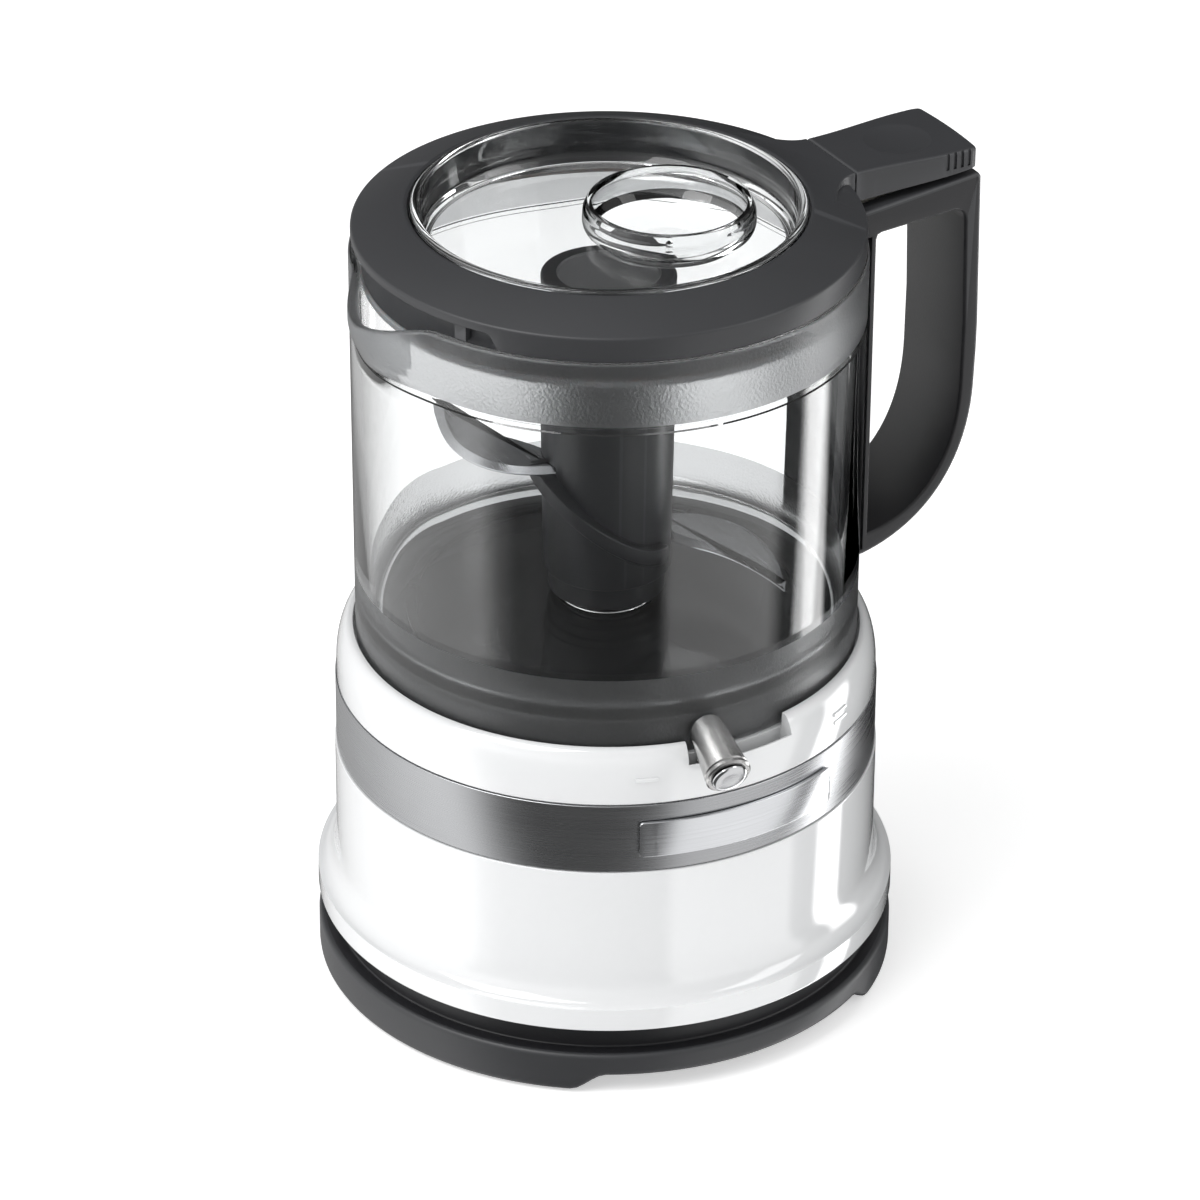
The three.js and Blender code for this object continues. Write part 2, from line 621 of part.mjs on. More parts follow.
// ---------------------------------------------------------------- pulse linkage
function transferLever() {
  const profile = new THREE.Shape();
  profile.moveTo(65.7, 200);
  profile.lineTo(93, 199.6);
  profile.absarc(94.5, 201, 2.2, -120 * DEG, 120 * DEG, false);
  profile.lineTo(88, 202);
  profile.lineTo(65.7, 202);
  profile.closePath();
  return cut(upright(profile, 7, 6), pinAlongY(1.5, 24, 94.5, 0, 201));
}

add('transfer_lever', transferLever(), 'nylon');
add('transfer_pin', toGeometry(toSolid(pinAlongY(1.2, 22, 94.5, 0, 201, 14))), 'steel');
add('push_rod', join(
  block([PUSH_X - 1, PUSH_X + 1], [-3, 3], [101, 199.7]),
  block([PUSH_X - 1, PUSH_X + 0.6], [-1.6, 1.6], [97.9, 101.5]),
), 'nylon');
add('interlock_plunger', join(
  post(1.6, 86.8, 97.5, 66, 0, 16),
  block([53, 66], [-2.4, 2.4], [86.8, 89]),
), 'nylon');
add('plunger_spring', toGeometry(toSolid(coil(2.4, 0.45, 72.3, 86.6, 5, 56, 0))), 'steel');

// ---------------------------------------------------------------- lid
const LID_NOTCH = 33;            // half the sector over the spout where the side wall is short

function lidSection(degrees) {
  const overSpout = ease((LID_NOTCH + 3 - angleBetween(degrees, 180)) / 3);
  const low = RIM_Z + 0.35 + 4.2 * overSpout;
  return [
    [LID_R, low], [LID_R, LID_EDGE_Z], [LID_R - 0.8, LID_EDGE_Z + 0.8], [WINDOW_R + 1.2, CREST_Z],
    [WINDOW_R + 0.5, CREST_Z - 0.4], [WINDOW_R + 0.5, 200.2], [WINDOW_R + 2.3, 200.2],
    [WINDOW_R + 2.3, 211.2], [59.6, 208.6], [59.6, 197.4], [61.2, 197.4], [61.2, 208.2],
    [62.2, 208.2], [62.2, low],
  ];
}

function lidRing() {
  const body = ring(lidSection, 32);
  const stub = block([55, 64.2], [-11.8, 11.8], [207.4, 212]);
  const ears = [-1, 1].map((s) => block([62.6, 68.6], [s * 10.1 - 1.3, s * 10.1 + 1.3], [203.8, 208.8]));
  const posts = [-154, 154].map((d) => block([61.4, 63.4], [-1.6, 1.6], [203, 208.6]).rotateZ(d * DEG));
  return cut(join(body, stub, ...ears, ...posts), pinAlongY(1.2, 40, 66.6, 0, 206.3));
}

function dripCup() {
  const outer = [[0, 197.2], [10, 197.2], [16, 198.6], [20, 201.6], [21.8, 205.6], [21.4, 208.6],
    [CUP_R, 210.7], [0, 210.7]];
  return turned(outer, 18).translate(CUP_X, 0, 0);
}

function dripCupInside() {
  const inner = [[0, 198.9], [9.6, 198.9], [15, 200.2], [18.6, 202.8], [20.1, 205.8], [19.8, 208.4],
    [19.2, 211.5], [0, 211.5]];
  return turned(inner, 18).translate(CUP_X, 0, 0);
}

function lidWindow() {
  const pane = turned([
    [0, 201.6], [46.4, 201.6], [47.2, 200.4], [WINDOW_R - 0.7, 200.4], [WINDOW_R, 201.4],
    [WINDOW_R, 213.2], [WINDOW_R - 0.5, 214.2], [WINDOW_R - 1.5, 214.3], [WINDOW_R - 2.3, 213.6],
    [46.2, 206], [44.6, 204], [0, 203.6],
  ], 28);
  const holes = around(3).map((d) => {
    const [x, y] = polar(5, d);
    return post(0.9, 195, 202, CUP_X + x, y, 6);
  });
  return cut(join(pane, dripCup()), dripCupInside(), ...holes);
}

add('lid_ring', lidRing(), 'charcoal');
add('lid_window', lidWindow(), 'clear');
add('lid_seal', toGeometry(toSolid(ring(() => [
  [59.8, 195.2], [61.4, 195.2], [61.6, 197.1], [59.8, 197.1],
], 24))), 'silicone');

// ---------------------------------------------------------------- pulse paddle
function pulsePaddle() {
  const plan = new THREE.Shape();
  plan.moveTo(64.6, -11.8);
  plan.bezierCurveTo(76, -11.8, 84, -14, 95, -14);
  plan.quadraticCurveTo(99.2, -14, 99.4, -12.4);
  plan.quadraticCurveTo(100.6, 0, 99.4, 12.4);
  plan.quadraticCurveTo(99.2, 14, 95, 14);
  plan.bezierCurveTo(84, 14, 76, 11.8, 64.6, 11.8);
  plan.closePath();
  const side = new THREE.Shape();
  side.moveTo(60, 212);
  side.lineTo(104, 212);
  side.lineTo(104, 206.9);
  side.lineTo(70, 204.2);
  side.lineTo(60, 203.9);
  side.closePath();
  const body = meet(plate(plan, 200, 212, 5), upright(side, 20));
  const nub = block([82.8, 85.2], [-4, 4], [202.35, 207]);
  const thumb = new THREE.SphereGeometry(42, 40, 20).translate(84, 0, 212 + 42 - 0.9);
  const earRoom = [-1, 1].map((s) => block([60, 69.2], [s * 10.3 - 2.1, s * 10.3 + 2.1], [200, 209.4]));
  const grooves = [0, 1, 2, 3].flatMap((i) => [-1, 1].map((s) =>
    block([90 + 2.1 * i, 90.9 + 2.1 * i], s > 0 ? [13.4, 16] : [-16, -13.4], [207.4, 213])));
  return cut(join(body, nub), thumb, ...earRoom, ...grooves, pinAlongY(1.5, 40, 66.6, 0, 206.3));
}

add('pulse_paddle', pulsePaddle(), 'charcoal');
add('paddle_pin', toGeometry(toSolid(pinAlongY(0.9, 22.4, 66.6, 0, 206.3, 14))), 'steel');

// ---------------------------------------------------------------- blade
const hubRadius = (z) => 16.3 + (1.1 * (z - HUB_Z[0])) / (HUB_Z[1] - HUB_Z[0]);

// Sloping rib that carries the steel from the upper blade round the front of the hub to the lower one.
function bladeRib() {
  const steps = 16;
  const positions = [];
  const index = [];
  for (let i = 0; i <= steps; i++) {
    const t = i / steps;
    const degrees = 172 + 123 * t;
    const mid = 145.2 - 23.7 * ease(0.15 + 0.85 * t) - 0.5 * t;
    const outer = 21 - 2 * t;
    for (const [r, dz] of [[15, -2.8], [outer, -2.4], [outer, 2.4], [15, 2.8]]) {
      positions.push(...polar(r, degrees), mid + dz);
    }
  }
  for (let i = 0; i < steps; i++) {
    for (let j = 0; j < 4; j++) {
      const k = (j + 1) % 4;
      const [a, b, c, d] = [4 * i + j, 4 * i + 4 + j, 4 * i + 4 + k, 4 * i + k];
      index.push(a, b, c, a, c, d);
    }
  }
  const last = 4 * steps;
  index.push(0, 1, 2, 0, 2, 3, last + 2, last + 1, last, last + 3, last + 2, last);
  const geometry = new THREE.BufferGeometry();
  geometry.setAttribute('position', new THREE.Float32BufferAttribute(positions, 3));
  geometry.setIndex(index);
  return geometry;
}

function bladeHub() {
  const [low, high] = HUB_Z;
  const body = turned([[0, 171], [4.5, 171], [4.5, 151], [7.5, 151], [7.5, 189.5], [14.2, 189.5],
    [13.5, COLLAR_Z], [15, COLLAR_Z], [15, low], [hubRadius(low), low], [hubRadius(high), high - 1], [hubRadius(high) - 1, high],
    [0, high]], 16);
  const keys = [[3.45, 6], [-6, -3.45]].map((x) => block(x, [-4, 4], [153.5, 172]));
  const slots = [sickle(LOWER_BLADE_Z - GAP, 1.6 + 2 * GAP),
    sickle(UPPER_BLADE_Z - GAP, 1.6 + 2 * GAP).rotateZ(Math.PI)];
  return cut(join(body, bladeRib(), ...keys), ...slots.map((s) => meet(s, hoop(14.6, 30, 100, 200, 16))));
}

// Curved blade in plan: broad at the hub, swept back to a point near the bowl wall.
function sickle(z, thickness) {
  const shape = new THREE.Shape();
  shape.moveTo(15.2, 3);
  shape.bezierCurveTo(30, 0, 36, -14, 31.8, -29);
  shape.quadraticCurveTo(29.5, -38, 24.2, -46.5);
  shape.quadraticCurveTo(23.6, -30, 18, -20);
  shape.quadraticCurveTo(14, -14, 12.6, -9);
  shape.closePath();
  return plate(shape, z, z + thickness, 8);
}

const bladeRing = hoop(15, 70, 100, 200, 16);
add('blade_hub', bladeHub(), 'blackPlastic');
add('blade_lower', meet(sickle(LOWER_BLADE_Z, 1.6), bladeRing), 'steel');
add('blade_upper', meet(sickle(UPPER_BLADE_Z, 1.6).rotateZ(Math.PI), bladeRing), 'steel');

export default product;
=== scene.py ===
"""Looks of a compact food processor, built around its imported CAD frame.

Sizes are in millimetres and heights are measured from the surface that the feet stand on; at() turns
a point into the frame's metres. The camera stands to the left of the front and looks down on the lid.
"""
import json
import math

import bmesh
import bpy
from mathutils import Matrix, Vector


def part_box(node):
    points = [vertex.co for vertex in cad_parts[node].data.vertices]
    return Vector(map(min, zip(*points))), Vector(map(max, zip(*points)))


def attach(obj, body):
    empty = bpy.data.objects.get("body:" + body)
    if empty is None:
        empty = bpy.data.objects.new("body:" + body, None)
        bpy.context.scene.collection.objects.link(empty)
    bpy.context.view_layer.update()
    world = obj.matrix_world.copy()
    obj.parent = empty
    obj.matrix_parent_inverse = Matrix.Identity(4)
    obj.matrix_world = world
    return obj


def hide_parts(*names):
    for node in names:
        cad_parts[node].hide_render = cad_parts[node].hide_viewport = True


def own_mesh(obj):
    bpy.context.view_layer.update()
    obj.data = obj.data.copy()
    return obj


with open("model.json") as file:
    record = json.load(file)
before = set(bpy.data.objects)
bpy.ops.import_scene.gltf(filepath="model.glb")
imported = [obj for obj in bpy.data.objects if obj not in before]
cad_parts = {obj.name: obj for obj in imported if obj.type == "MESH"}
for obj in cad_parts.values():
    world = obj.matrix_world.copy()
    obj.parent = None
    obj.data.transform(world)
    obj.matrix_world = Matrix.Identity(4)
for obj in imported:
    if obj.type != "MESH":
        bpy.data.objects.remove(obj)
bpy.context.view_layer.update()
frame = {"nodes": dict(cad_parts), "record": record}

# ---------------------------------------------------------------- sizes
MM = 0.001
TABLE_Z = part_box("rubber_foot_1")[0].z / MM       # the feet's underside in the CAD frame
FINE = 256                                        # steps round the large round pieces
OVERSHOOT = 2                                     # how far a cutter runs past a face


def heights(node):
    """A node's lowest and highest point above the table."""
    return [corner.z / MM - TABLE_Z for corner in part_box(node)]


# Taken from the frame
BASE_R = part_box("housing")[1].x / MM
BAND_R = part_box("trim_band")[1].x / MM
LID_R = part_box("lid_ring")[1].y / MM
GRIP_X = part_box("bowl_handle")[1].x / MM
GRIP_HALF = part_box("bowl_handle")[1].y / MM
BAND_Z = heights("trim_band")
HUB_Z = heights("blade_hub")
RIM_Z = heights("bowl")[1]
CREST_Z = heights("lid_ring")[1]
PADDLE_TOP = heights("pulse_paddle")[1]

# Base
COVER_TOP = 11.6                                  # the ledge round the bottom cover
COVER_WELL_R = 70.6                               # the wall that rises from it into the housing
FOOT_R = 66.8                                     # the feet's distance from the drive axis
FOOT_DIRECTIONS = (32, 148, 212, 328)
LOBE_DIRECTIONS = (*FOOT_DIRECTIONS, 180)         # where the cover's rim reaches down
SCREW_R = 63.4
SCREW_DIRECTIONS = (70, 110, 250, 290)
INLET_Z = 15.6
WALL_R = 70.0                                     # the housing's wall
SHOULDER_R = 65.2
SHOULDER_Z = 86
SEAT_Z = 96.8                                     # the housing's top edge, round the bowl
LEDGE_Z = 92.6                                    # the ledge that the bowl's foot stands above
PLATE_Z = (67.8, 77.8)                            # the blank plate on the band
PLATE_HALF_TURN = 23
MARK_Z = 89.3
DECK_Z = 100
BUSH_R = (7.3, 10.2)                              # the deck's bush round the spindle
SPINDLE_R = 4
SPINDLE_Z = (67.4, 168.4)

# Speed lever
LEVER_REST = -97.5
LEVER_TRAVEL = 15.0
LEVER_TAB = 2.6                                   # half the width of its inner tab, in degrees

# Bowl and handle
BOWL_R = 64.2
BOWL_TOP_R = 64.5
BOWL_T = 2.4
BOWL_FOOT_Z = 97                                  # above this the wall widens to BOWL_TOP_R
FLOOR_Z = 104.8
FLOOR_CORNER_R = 57.6
FLOOR_CORNER_Z = 111
TUBE_TOP = 150
FROST_LOW = 115.2                                 # frosted below this
FROST_HIGH = 185.6                                # and above this
SPOUT_Z = 178                                     # where the spout starts to bulge
SPOUT_DIP = 4.5
SPOUT_OUT = 6.5
SPOUT_HALF_TURN = 20
CHANNEL_X = 65.2                                  # inner side of the slots for the switch linkage
ROD_HALF = 3.5

# Lid and paddle
WINDOW_R = 49.3
CUP_X = 17.3
PIN_X = 66.6                                      # the paddle's hinge
PIN_Z = 206.3
EAR_Y = 10.1
PADDLE_ROOT = (64.6, 11.8)
PADDLE_END = (95, 14)
THUMB_R = 42

# Blade unit
COLLAR_TOP = 112.8
COLLAR_R = 15
HUB_TOP_R = 13.2
BLADE_T = 1.6
BLADE_ROWS = (("blade_lower", 120, 0), ("blade_upper", 144, 180))


def at(x, y, z):
    """A point given in millimetres above the table, in the frame's metres."""
    return Vector((x * MM, y * MM, (z + TABLE_Z) * MM))


def polar(r, degrees):
    a = math.radians(degrees)
    return r * math.cos(a), r * math.sin(a)


def ease(t):
    """A smooth step from 0 to 1."""
    c = min(1.0, max(0.0, t))
    return c * c * (3 - 2 * c)


def angle_between(a, b):
    return abs((a - b + 540) % 360 - 180)


# ---------------------------------------------------------------- outlines
def fillet(points, steps=5, closed=True):
    """Rounds the corners of an outline. Each point is (x, y) or (x, y, radius)."""
    rounded = []
    count = len(points)
    for i, point in enumerate(points):
        radius = point[2] if len(point) > 2 else 0
        here = Vector(point[:2])
        if radius <= 0 or (not closed and i in (0, count - 1)):
            rounded.append(tuple(here))
            continue
        before = Vector(points[i - 1][:2]) - here
        after = Vector(points[(i + 1) % count][:2]) - here
        half = before.angle(after) / 2
        reach = min(radius / math.tan(half), before.length * 0.49, after.length * 0.49)
        start = here + before.normalized() * reach
        end = here + after.normalized() * reach
        for k in range(steps + 1):
            t = k / steps
            rounded.append(tuple(start * (1 - t) ** 2 + here * 2 * t * (1 - t) + end * t ** 2))
    return rounded


def bezier(p0, p1, p2, p3, steps=16):
    """Points after p0 along a cubic curve."""
    out = []
    for k in range(1, steps + 1):
        t = k / steps
        weights = ((1 - t) ** 3, 3 * t * (1 - t) ** 2, 3 * t * t * (1 - t), t ** 3)
        out.append(tuple(sum(w * p[i] for w, p in zip(weights, (p0, p1, p2, p3))) for i in (0, 1)))
    return out


# ---------------------------------------------------------------- meshes
def make(name, points, faces):
    mesh = bpy.data.meshes.new(name)
    mesh.from_pydata(points, [], faces)
    piece = bpy.data.objects.new(name, mesh)
    bpy.context.scene.collection.objects.link(piece)
    tidy(piece)
    return piece


def tidy(piece):
    """Merges doubled points and turns every face outwards."""
    work = bmesh.new()
    work.from_mesh(piece.data)
    bmesh.ops.remove_doubles(work, verts=work.verts, dist=2e-6)
    bmesh.ops.dissolve_degenerate(work, edges=work.edges, dist=1e-7)
    bmesh.ops.recalc_face_normals(work, faces=work.faces)
    work.to_mesh(piece.data)
    work.free()


def quads(rings, count, closed=True, joined=False):
    """Faces between neighbouring rings of count points each.

    closed: each ring is a closed outline. joined: the last ring meets the first one.
    """
    faces = []
    for i in range(rings if joined else rings - 1):
        a, b = i * count, (i + 1) % rings * count
        for j in range(count if closed else count - 1):
            k = (j + 1) % count
            faces.append((a + j, b + j, b + k, a + k))
    return faces


def caps(rings, count):
    """The faces that close a bar at its first and its last ring."""
    last = (rings - 1) * count
    return [tuple(range(count)), tuple(range(last + count - 1, last - 1, -1))]


def loft(name, section, steps=FINE):
    """A ring whose closed section of (r, z) may change with the direction in degrees."""
    points = []
    for i in range(steps):
        c, s = polar(1, 360 * i / steps)
        outline = section(360 * i / steps)
        points += [at(r * c, r * s, z) for r, z in outline]
    return make(name, points, quads(steps, len(outline), joined=True))


def lathe(name, profile, steps=FINE, centre=(0, 0)):
    """A solid of revolution whose profile starts and ends on the axis."""
    points = []
    for i in range(steps):
        c, s = polar(1, 360 * i / steps)
        points += [at(centre[0] + r * c, centre[1] + r * s, z) for r, z in profile]
    return make(name, points, quads(steps, len(profile), closed=False, joined=True))


def layered(name, layers, place):
    """A solid through outlines of equal length. Each layer is (w, outline).

    place(u, v, w) gives the point for a corner (u, v) of the layer at w; at() lays outlines flat.
    """
    rings, count = len(layers), len(layers[0][1])
    points = [place(u, v, w) for w, outline in layers for u, v in outline]
    return make(name, points, caps(rings, count) + quads(rings, count))


def slab(name, outline, low, high, place):
    """An outline extruded from low to high."""
    return layered(name, [(low, outline), (high, outline)], place)


def upright(u, v, w):
    """Places outlines that stand in the plane of the handle."""
    return at(u, w, v)


def turned_by(degrees):
    """Places plan outlines after a turn round the drive axis."""
    c, s = polar(1, degrees)
    return lambda u, v, w: at(u * c - v * s, u * s + v * c, w)


def flat(name, outline, z0, z1):
    return slab(name, outline, z0, z1, at)


def side_on(name, outline, y0, y1):
    return slab(name, outline, y0, y1, upright)


def brick(name, x, y, z):
    return flat(name, [(x[0], y[0]), (x[1], y[0]), (x[1], y[1]), (x[0], y[1])], *z)


def sector(name, inner, outer, start, end, z0, z1, steps=24):
    turns = [start + (end - start) * i / steps for i in range(steps + 1)]
    outline = [polar(outer, a) for a in turns] + [polar(inner, a) for a in reversed(turns)]
    return flat(name, outline, z0, z1)


def rod_between(name, start, end, profile, steps=96):
    """A turned bar: profile is a list of (distance along the axis, radius) in millimetres."""
    turn = (end - start).normalized().to_track_quat("Z", "Y")
    points = []
    for i in range(steps):
        c, s = polar(1, 360 * i / steps)
        for along, r in profile:
            points.append(start + turn @ Vector((r * c * MM, r * s * MM, along * MM)))
    return make(name, points, quads(steps, len(profile), closed=False, joined=True))


def bake(piece):
    """Applies the piece's modifiers."""
    graph = bpy.context.evaluated_depsgraph_get()
    graph.update()
    mesh = bpy.data.meshes.new_from_object(piece.evaluated_get(graph))
    old = piece.data
    piece.modifiers.clear()
    piece.data = mesh
    mesh.name = piece.name
    bpy.data.meshes.remove(old)
    return piece


def combine(piece, others, operation):
    """Applies other pieces to a piece, one after another, and removes them."""
    for other in others:
        step = piece.modifiers.new("step", "BOOLEAN")
        step.operation = operation
        step.solver = "MANIFOLD"
        step.object = other
        bake(piece)
        bpy.data.objects.remove(other)
    return piece


def carve(piece, *tools):
    return combine(piece, tools, "DIFFERENCE")


def weld(piece, *others):
    return combine(piece, others, "UNION")


def shade(piece, limit=32):
    """Smooth faces with sharp edges above the limit in degrees."""
    piece.data.shade_smooth()
    piece.data.set_sharp_from_angle(angle=math.radians(limit))
    return piece


def dress(piece, body, slot, material, *nodes, limit=32):
    """Shading, finish, body and the CAD nodes that the piece stands for."""
    shade(piece, limit)
    if material is not None:
        piece.data.materials.clear()
        piece.data.materials.append(material)
    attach(piece, body)
    if nodes:
        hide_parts(*nodes)
    return piece


def offset(outline, distance):
    """Moves a closed outline outwards, or inwards where distance is negative."""
    count = len(outline)
    area = 0
    for (x0, y0), (x1, y1) in zip(outline, [*outline[1:], outline[0]]):
        area += x0 * y1 - x1 * y0
    sign = 1 if area > 0 else -1
    moved = []
    for i, (x, y) in enumerate(outline):
        before = (Vector((x, y)) - Vector(outline[i - 1])).normalized()
        after = (Vector(outline[(i + 1) % count]) - Vector((x, y))).normalized()
        normals = [Vector((edge.y, -edge.x)) * sign for edge in (before, after)]
        middle = (normals[0] + normals[1]).normalized()
        reach = distance / max(0.5, middle.dot(normals[0]))
        moved.append((x + middle.x * reach, y + middle.y * reach))
    return moved


def pillow(name, outline, low, high, place, bottom=1.0, top=1.0, hole=False, steps=4):
    """An extruded outline with rounded rims, or a cutter that leaves rounded rims round a hole.

    A cutter runs OVERSHOOT past both faces.
    """
    way = 1 if hole else -1

    def rim(radius, face, inward):
        """Layers from a face at w inwards, round a rim of this radius."""
        if radius == 0:
            return [(face, outline)]
        turns = [polar(radius, 90 * k / steps) for k in range(steps + 1)]
        return [(face + inward * (radius - c), offset(outline, way * (radius - s))) for c, s in turns]

    layers = rim(bottom, low, 1) + rim(top, high, -1)[::-1]
    if hole:
        layers.insert(0, (low - OVERSHOOT, layers[0][1]))
        layers.append((high + OVERSHOOT, layers[-1][1]))
    return layered(name, layers, place)


def sweep(name, directions, section):
    """A bar bent round the drive axis; section(t) gives its outline of (r, z) for t from 0 to 1."""
    rings = len(directions)
    outlines = [section(i / (rings - 1)) for i in range(rings)]
    count = len(outlines[0])
    points = [at(*polar(r, a), z) for a, outline in zip(directions, outlines) for r, z in outline]
    return make(name, points, quads(rings, count) + caps(rings, count))


def post(name, r, z0, z1, x=0, y=0, steps=48):
    return lathe(name, [(0, z0), (r, z0), (r, z1), (0, z1)], steps, (x, y))


def pin_along_y(name, r, half, x, z, steps=32):
    profile = [(0, 0), (0, r), (2 * half, r), (2 * half, 0)]
    return rod_between(name, at(x, -half, z), at(x, half, z), profile, steps)


# ---------------------------------------------------------------- finishes
def new_material(name):
    material = bpy.data.materials.new(name)
    material.use_nodes = True
    nodes = material.node_tree.nodes
    return material, nodes, material.node_tree.links, nodes["Principled BSDF"]


def noise(nodes, links, coordinates, scale, stretch=(1, 1, 1), detail=3.0, roughness=0.5):
    mapping = nodes.new("ShaderNodeMapping")
    mapping.inputs["Scale"].default_value = stretch
    links.new(coordinates, mapping.inputs["Vector"])
    texture = nodes.new("ShaderNodeTexNoise")
    texture.inputs["Scale"].default_value = scale
    texture.inputs["Detail"].default_value = detail
    texture.inputs["Roughness"].default_value = roughness
    links.new(mapping.outputs["Vector"], texture.inputs["Vector"])
    return texture.outputs["Fac"]


def spread(nodes, links, value, low, high, start=0.3, end=0.7):
    """Maps a value that runs from start to end to low to high."""
    span = nodes.new("ShaderNodeMapRange")
    span.inputs["From Min"].default_value = start
    span.inputs["From Max"].default_value = end
    span.inputs["To Min"].default_value = low
    span.inputs["To Max"].default_value = high
    links.new(value, span.inputs["Value"])
    return span.outputs["Result"]


def mixed(nodes, links, factor, first, second):
    """A mix of two colours, each given as a tuple or as a socket."""
    mix = nodes.new("ShaderNodeMix")
    mix.data_type = "RGBA"
    links.new(factor, mix.inputs["Factor"])
    for side, colour in (("A", first), ("B", second)):
        if isinstance(colour, tuple):
            mix.inputs[side].default_value = (*colour, 1)
        else:
            links.new(colour, mix.inputs[side])
    return mix.outputs["Result"]


def calculate(nodes, links, operation, *terms, clamp=False):
    """The result of a Math node, whose terms are numbers or sockets."""
    node = nodes.new("ShaderNodeMath")
    node.operation = operation
    node.use_clamp = clamp
    for socket, term in zip(node.inputs, terms):
        if isinstance(term, (int, float)):
            socket.default_value = term
        else:
            links.new(term, socket)
    return node.outputs["Value"]


def finish(name, colour, rough, grain=2500, depth=0.00004, vary=0.05, stretch=(1, 1, 1), wear=0.0,
           rough_vary=0.05, broad=35, **fixed):
    """Fine grain and broad unevenness in colour, roughness and relief, and lighter rubbed edges.

    grain and broad are noise scales, depth is the relief in metres, vary the share by which the colour
    varies, and wear how far the edges turn lighter. Sockets given in fixed keep one value.
    """
    material, nodes, links, shader = new_material(name)
    for socket, value in fixed.items():
        shader.inputs[socket.replace("_", " ")].default_value = value
    coordinates = nodes.new("ShaderNodeTexCoord").outputs["Object"]
    fine = noise(nodes, links, coordinates, grain, stretch)
    wide = noise(nodes, links, coordinates, broad, (1, 1, 1), 2.0)
    half = calculate(nodes, links, "MULTIPLY", fine, 0.5)
    both = calculate(nodes, links, "MULTIPLY_ADD", wide, 0.5, half)
    dark = tuple(c * (1 - vary) for c in colour)
    light = tuple(min(1.0, c * (1 + vary)) for c in colour)
    tint = mixed(nodes, links, spread(nodes, links, both, 0, 1), dark, light)
    if wear > 0:
        pointed = nodes.new("ShaderNodeNewGeometry").outputs["Pointiness"]
        rubbed = tuple(min(1.0, c * 2.2 + 0.02) for c in colour)
        tint = mixed(nodes, links, spread(nodes, links, pointed, 0, wear, 0.53, 0.6), tint, rubbed)
    links.new(tint, shader.inputs["Base Color"])
    links.new(spread(nodes, links, both, max(0.0, rough - rough_vary), rough + rough_vary),
              shader.inputs["Roughness"])
    relief = nodes.new("ShaderNodeBump")
    relief.inputs["Strength"].default_value = 0.6
    relief.inputs["Distance"].default_value = depth
    links.new(fine, relief.inputs["Height"])
    links.new(relief.outputs["Normal"], shader.inputs["Normal"])
    return material


def lengthwise_metal(name, colour, rough, grain, stretch, depth, radial=True, anisotropy=0.5,
                     vary=0.1):
    """Brushed metal: streaks along the direction in which stretch is smallest."""
    material = finish(name, colour, rough, grain, depth, vary, stretch, rough_vary=0.05, Metallic=1.0,
                      Anisotropic=anisotropy)
    if radial:
        nodes, links = material.node_tree.nodes, material.node_tree.links
        tangent = nodes.new("ShaderNodeTangent")
        tangent.direction_type = "RADIAL"
        tangent.axis = "Z"
        links.new(tangent.outputs["Tangent"], nodes["Principled BSDF"].inputs["Tangent"])
    return material


CHARCOAL = finish("charcoal_moulded", (0.034, 0.035, 0.038), 0.42, 2600, 0.00003, 0.06, wear=0.35)
# Black moulded plastic, also used as painted shade on the bottom cover's ledge
BLACK_AND_PAINTED_SHADE = finish("black_moulded_and_painted_shade", (0.012, 0.012, 0.014), 0.42, 2200, 0.00003, 0.1, wear=0.2)
WHITE = finish("white_gloss", (0.76, 0.768, 0.775), 0.09, 500, 0.000006, 0.008, rough_vary=0.02,
               Coat_Weight=1.0, Coat_Roughness=0.02, Coat_IOR=1.6)
BRUSHED = lengthwise_metal("brushed_band", (0.42, 0.425, 0.435), 0.27, 60, (0.15, 0.15, 90), 0.00002)
PLATE = lengthwise_metal("satin_plate", (0.7, 0.71, 0.73), 0.2, 60, (0.15, 0.15, 60), 0.00001)
NICKEL = lengthwise_metal("brushed_nickel", (0.58, 0.575, 0.57), 0.24, 300, (6, 1, 6), 0.00001, False,
                          0.4)
CHROME = finish("chrome", (0.6, 0.605, 0.615), 0.16, 900, 0.000002, 0.02, rough_vary=0.03, Metallic=1.0)
BLADE = lengthwise_metal("blade_steel", (0.66, 0.67, 0.69), 0.24, 160, (12, 1, 1), 0.000003, False, 0.4,
                         0.04)
SHAFT = finish("machined_steel", (0.5, 0.5, 0.51), 0.25, 700, 0.00001, 0.08, (1, 1, 8), Metallic=1.0)
DARK_STEEL = finish("dark_steel", (0.16, 0.16, 0.17), 0.35, 900, 0.00001, 0.15, Metallic=1.0)
FINS = finish("heat_sink_aluminium", (0.62, 0.63, 0.64), 0.32, 800, 0.00001, 0.08, (1, 1, 6),
              Metallic=1.0)
BRONZE = finish("bronze", (0.45, 0.28, 0.13), 0.35, 1500, 0.00003, 0.18, Metallic=1.0)
COPPER = finish("enamelled_copper", (0.52, 0.2, 0.08), 0.25, 1600, 0.00004, 0.15, (1, 1, 5),
                Metallic=0.9)
RUBBER = finish("rubber", (0.02, 0.02, 0.021), 0.72, 1800, 0.00005, 0.15)
SILICONE = finish("seal_silicone", (0.3, 0.31, 0.32), 0.5, 1400, 0.00003, 0.06, Subsurface_Weight=0.1)
NYLON = finish("nylon", (0.62, 0.6, 0.54), 0.45, 1500, 0.00003, 0.05)
BOARD = finish("board_green", (0.03, 0.16, 0.07), 0.4, 400, 0.00004, 0.3)
CLEAR = finish("clear_plastic", (0.972, 0.98, 0.982), 0.004, 240, 0.000001, 0.004, rough_vary=0.003,
               Transmission_Weight=1.0, IOR=1.5)
FROSTED = finish("frosted_plastic", (0.44, 0.45, 0.46), 0.36, 1300, 0.00025, 0.06, rough_vary=0.06,
                 Transmission_Weight=0.93, IOR=1.5)
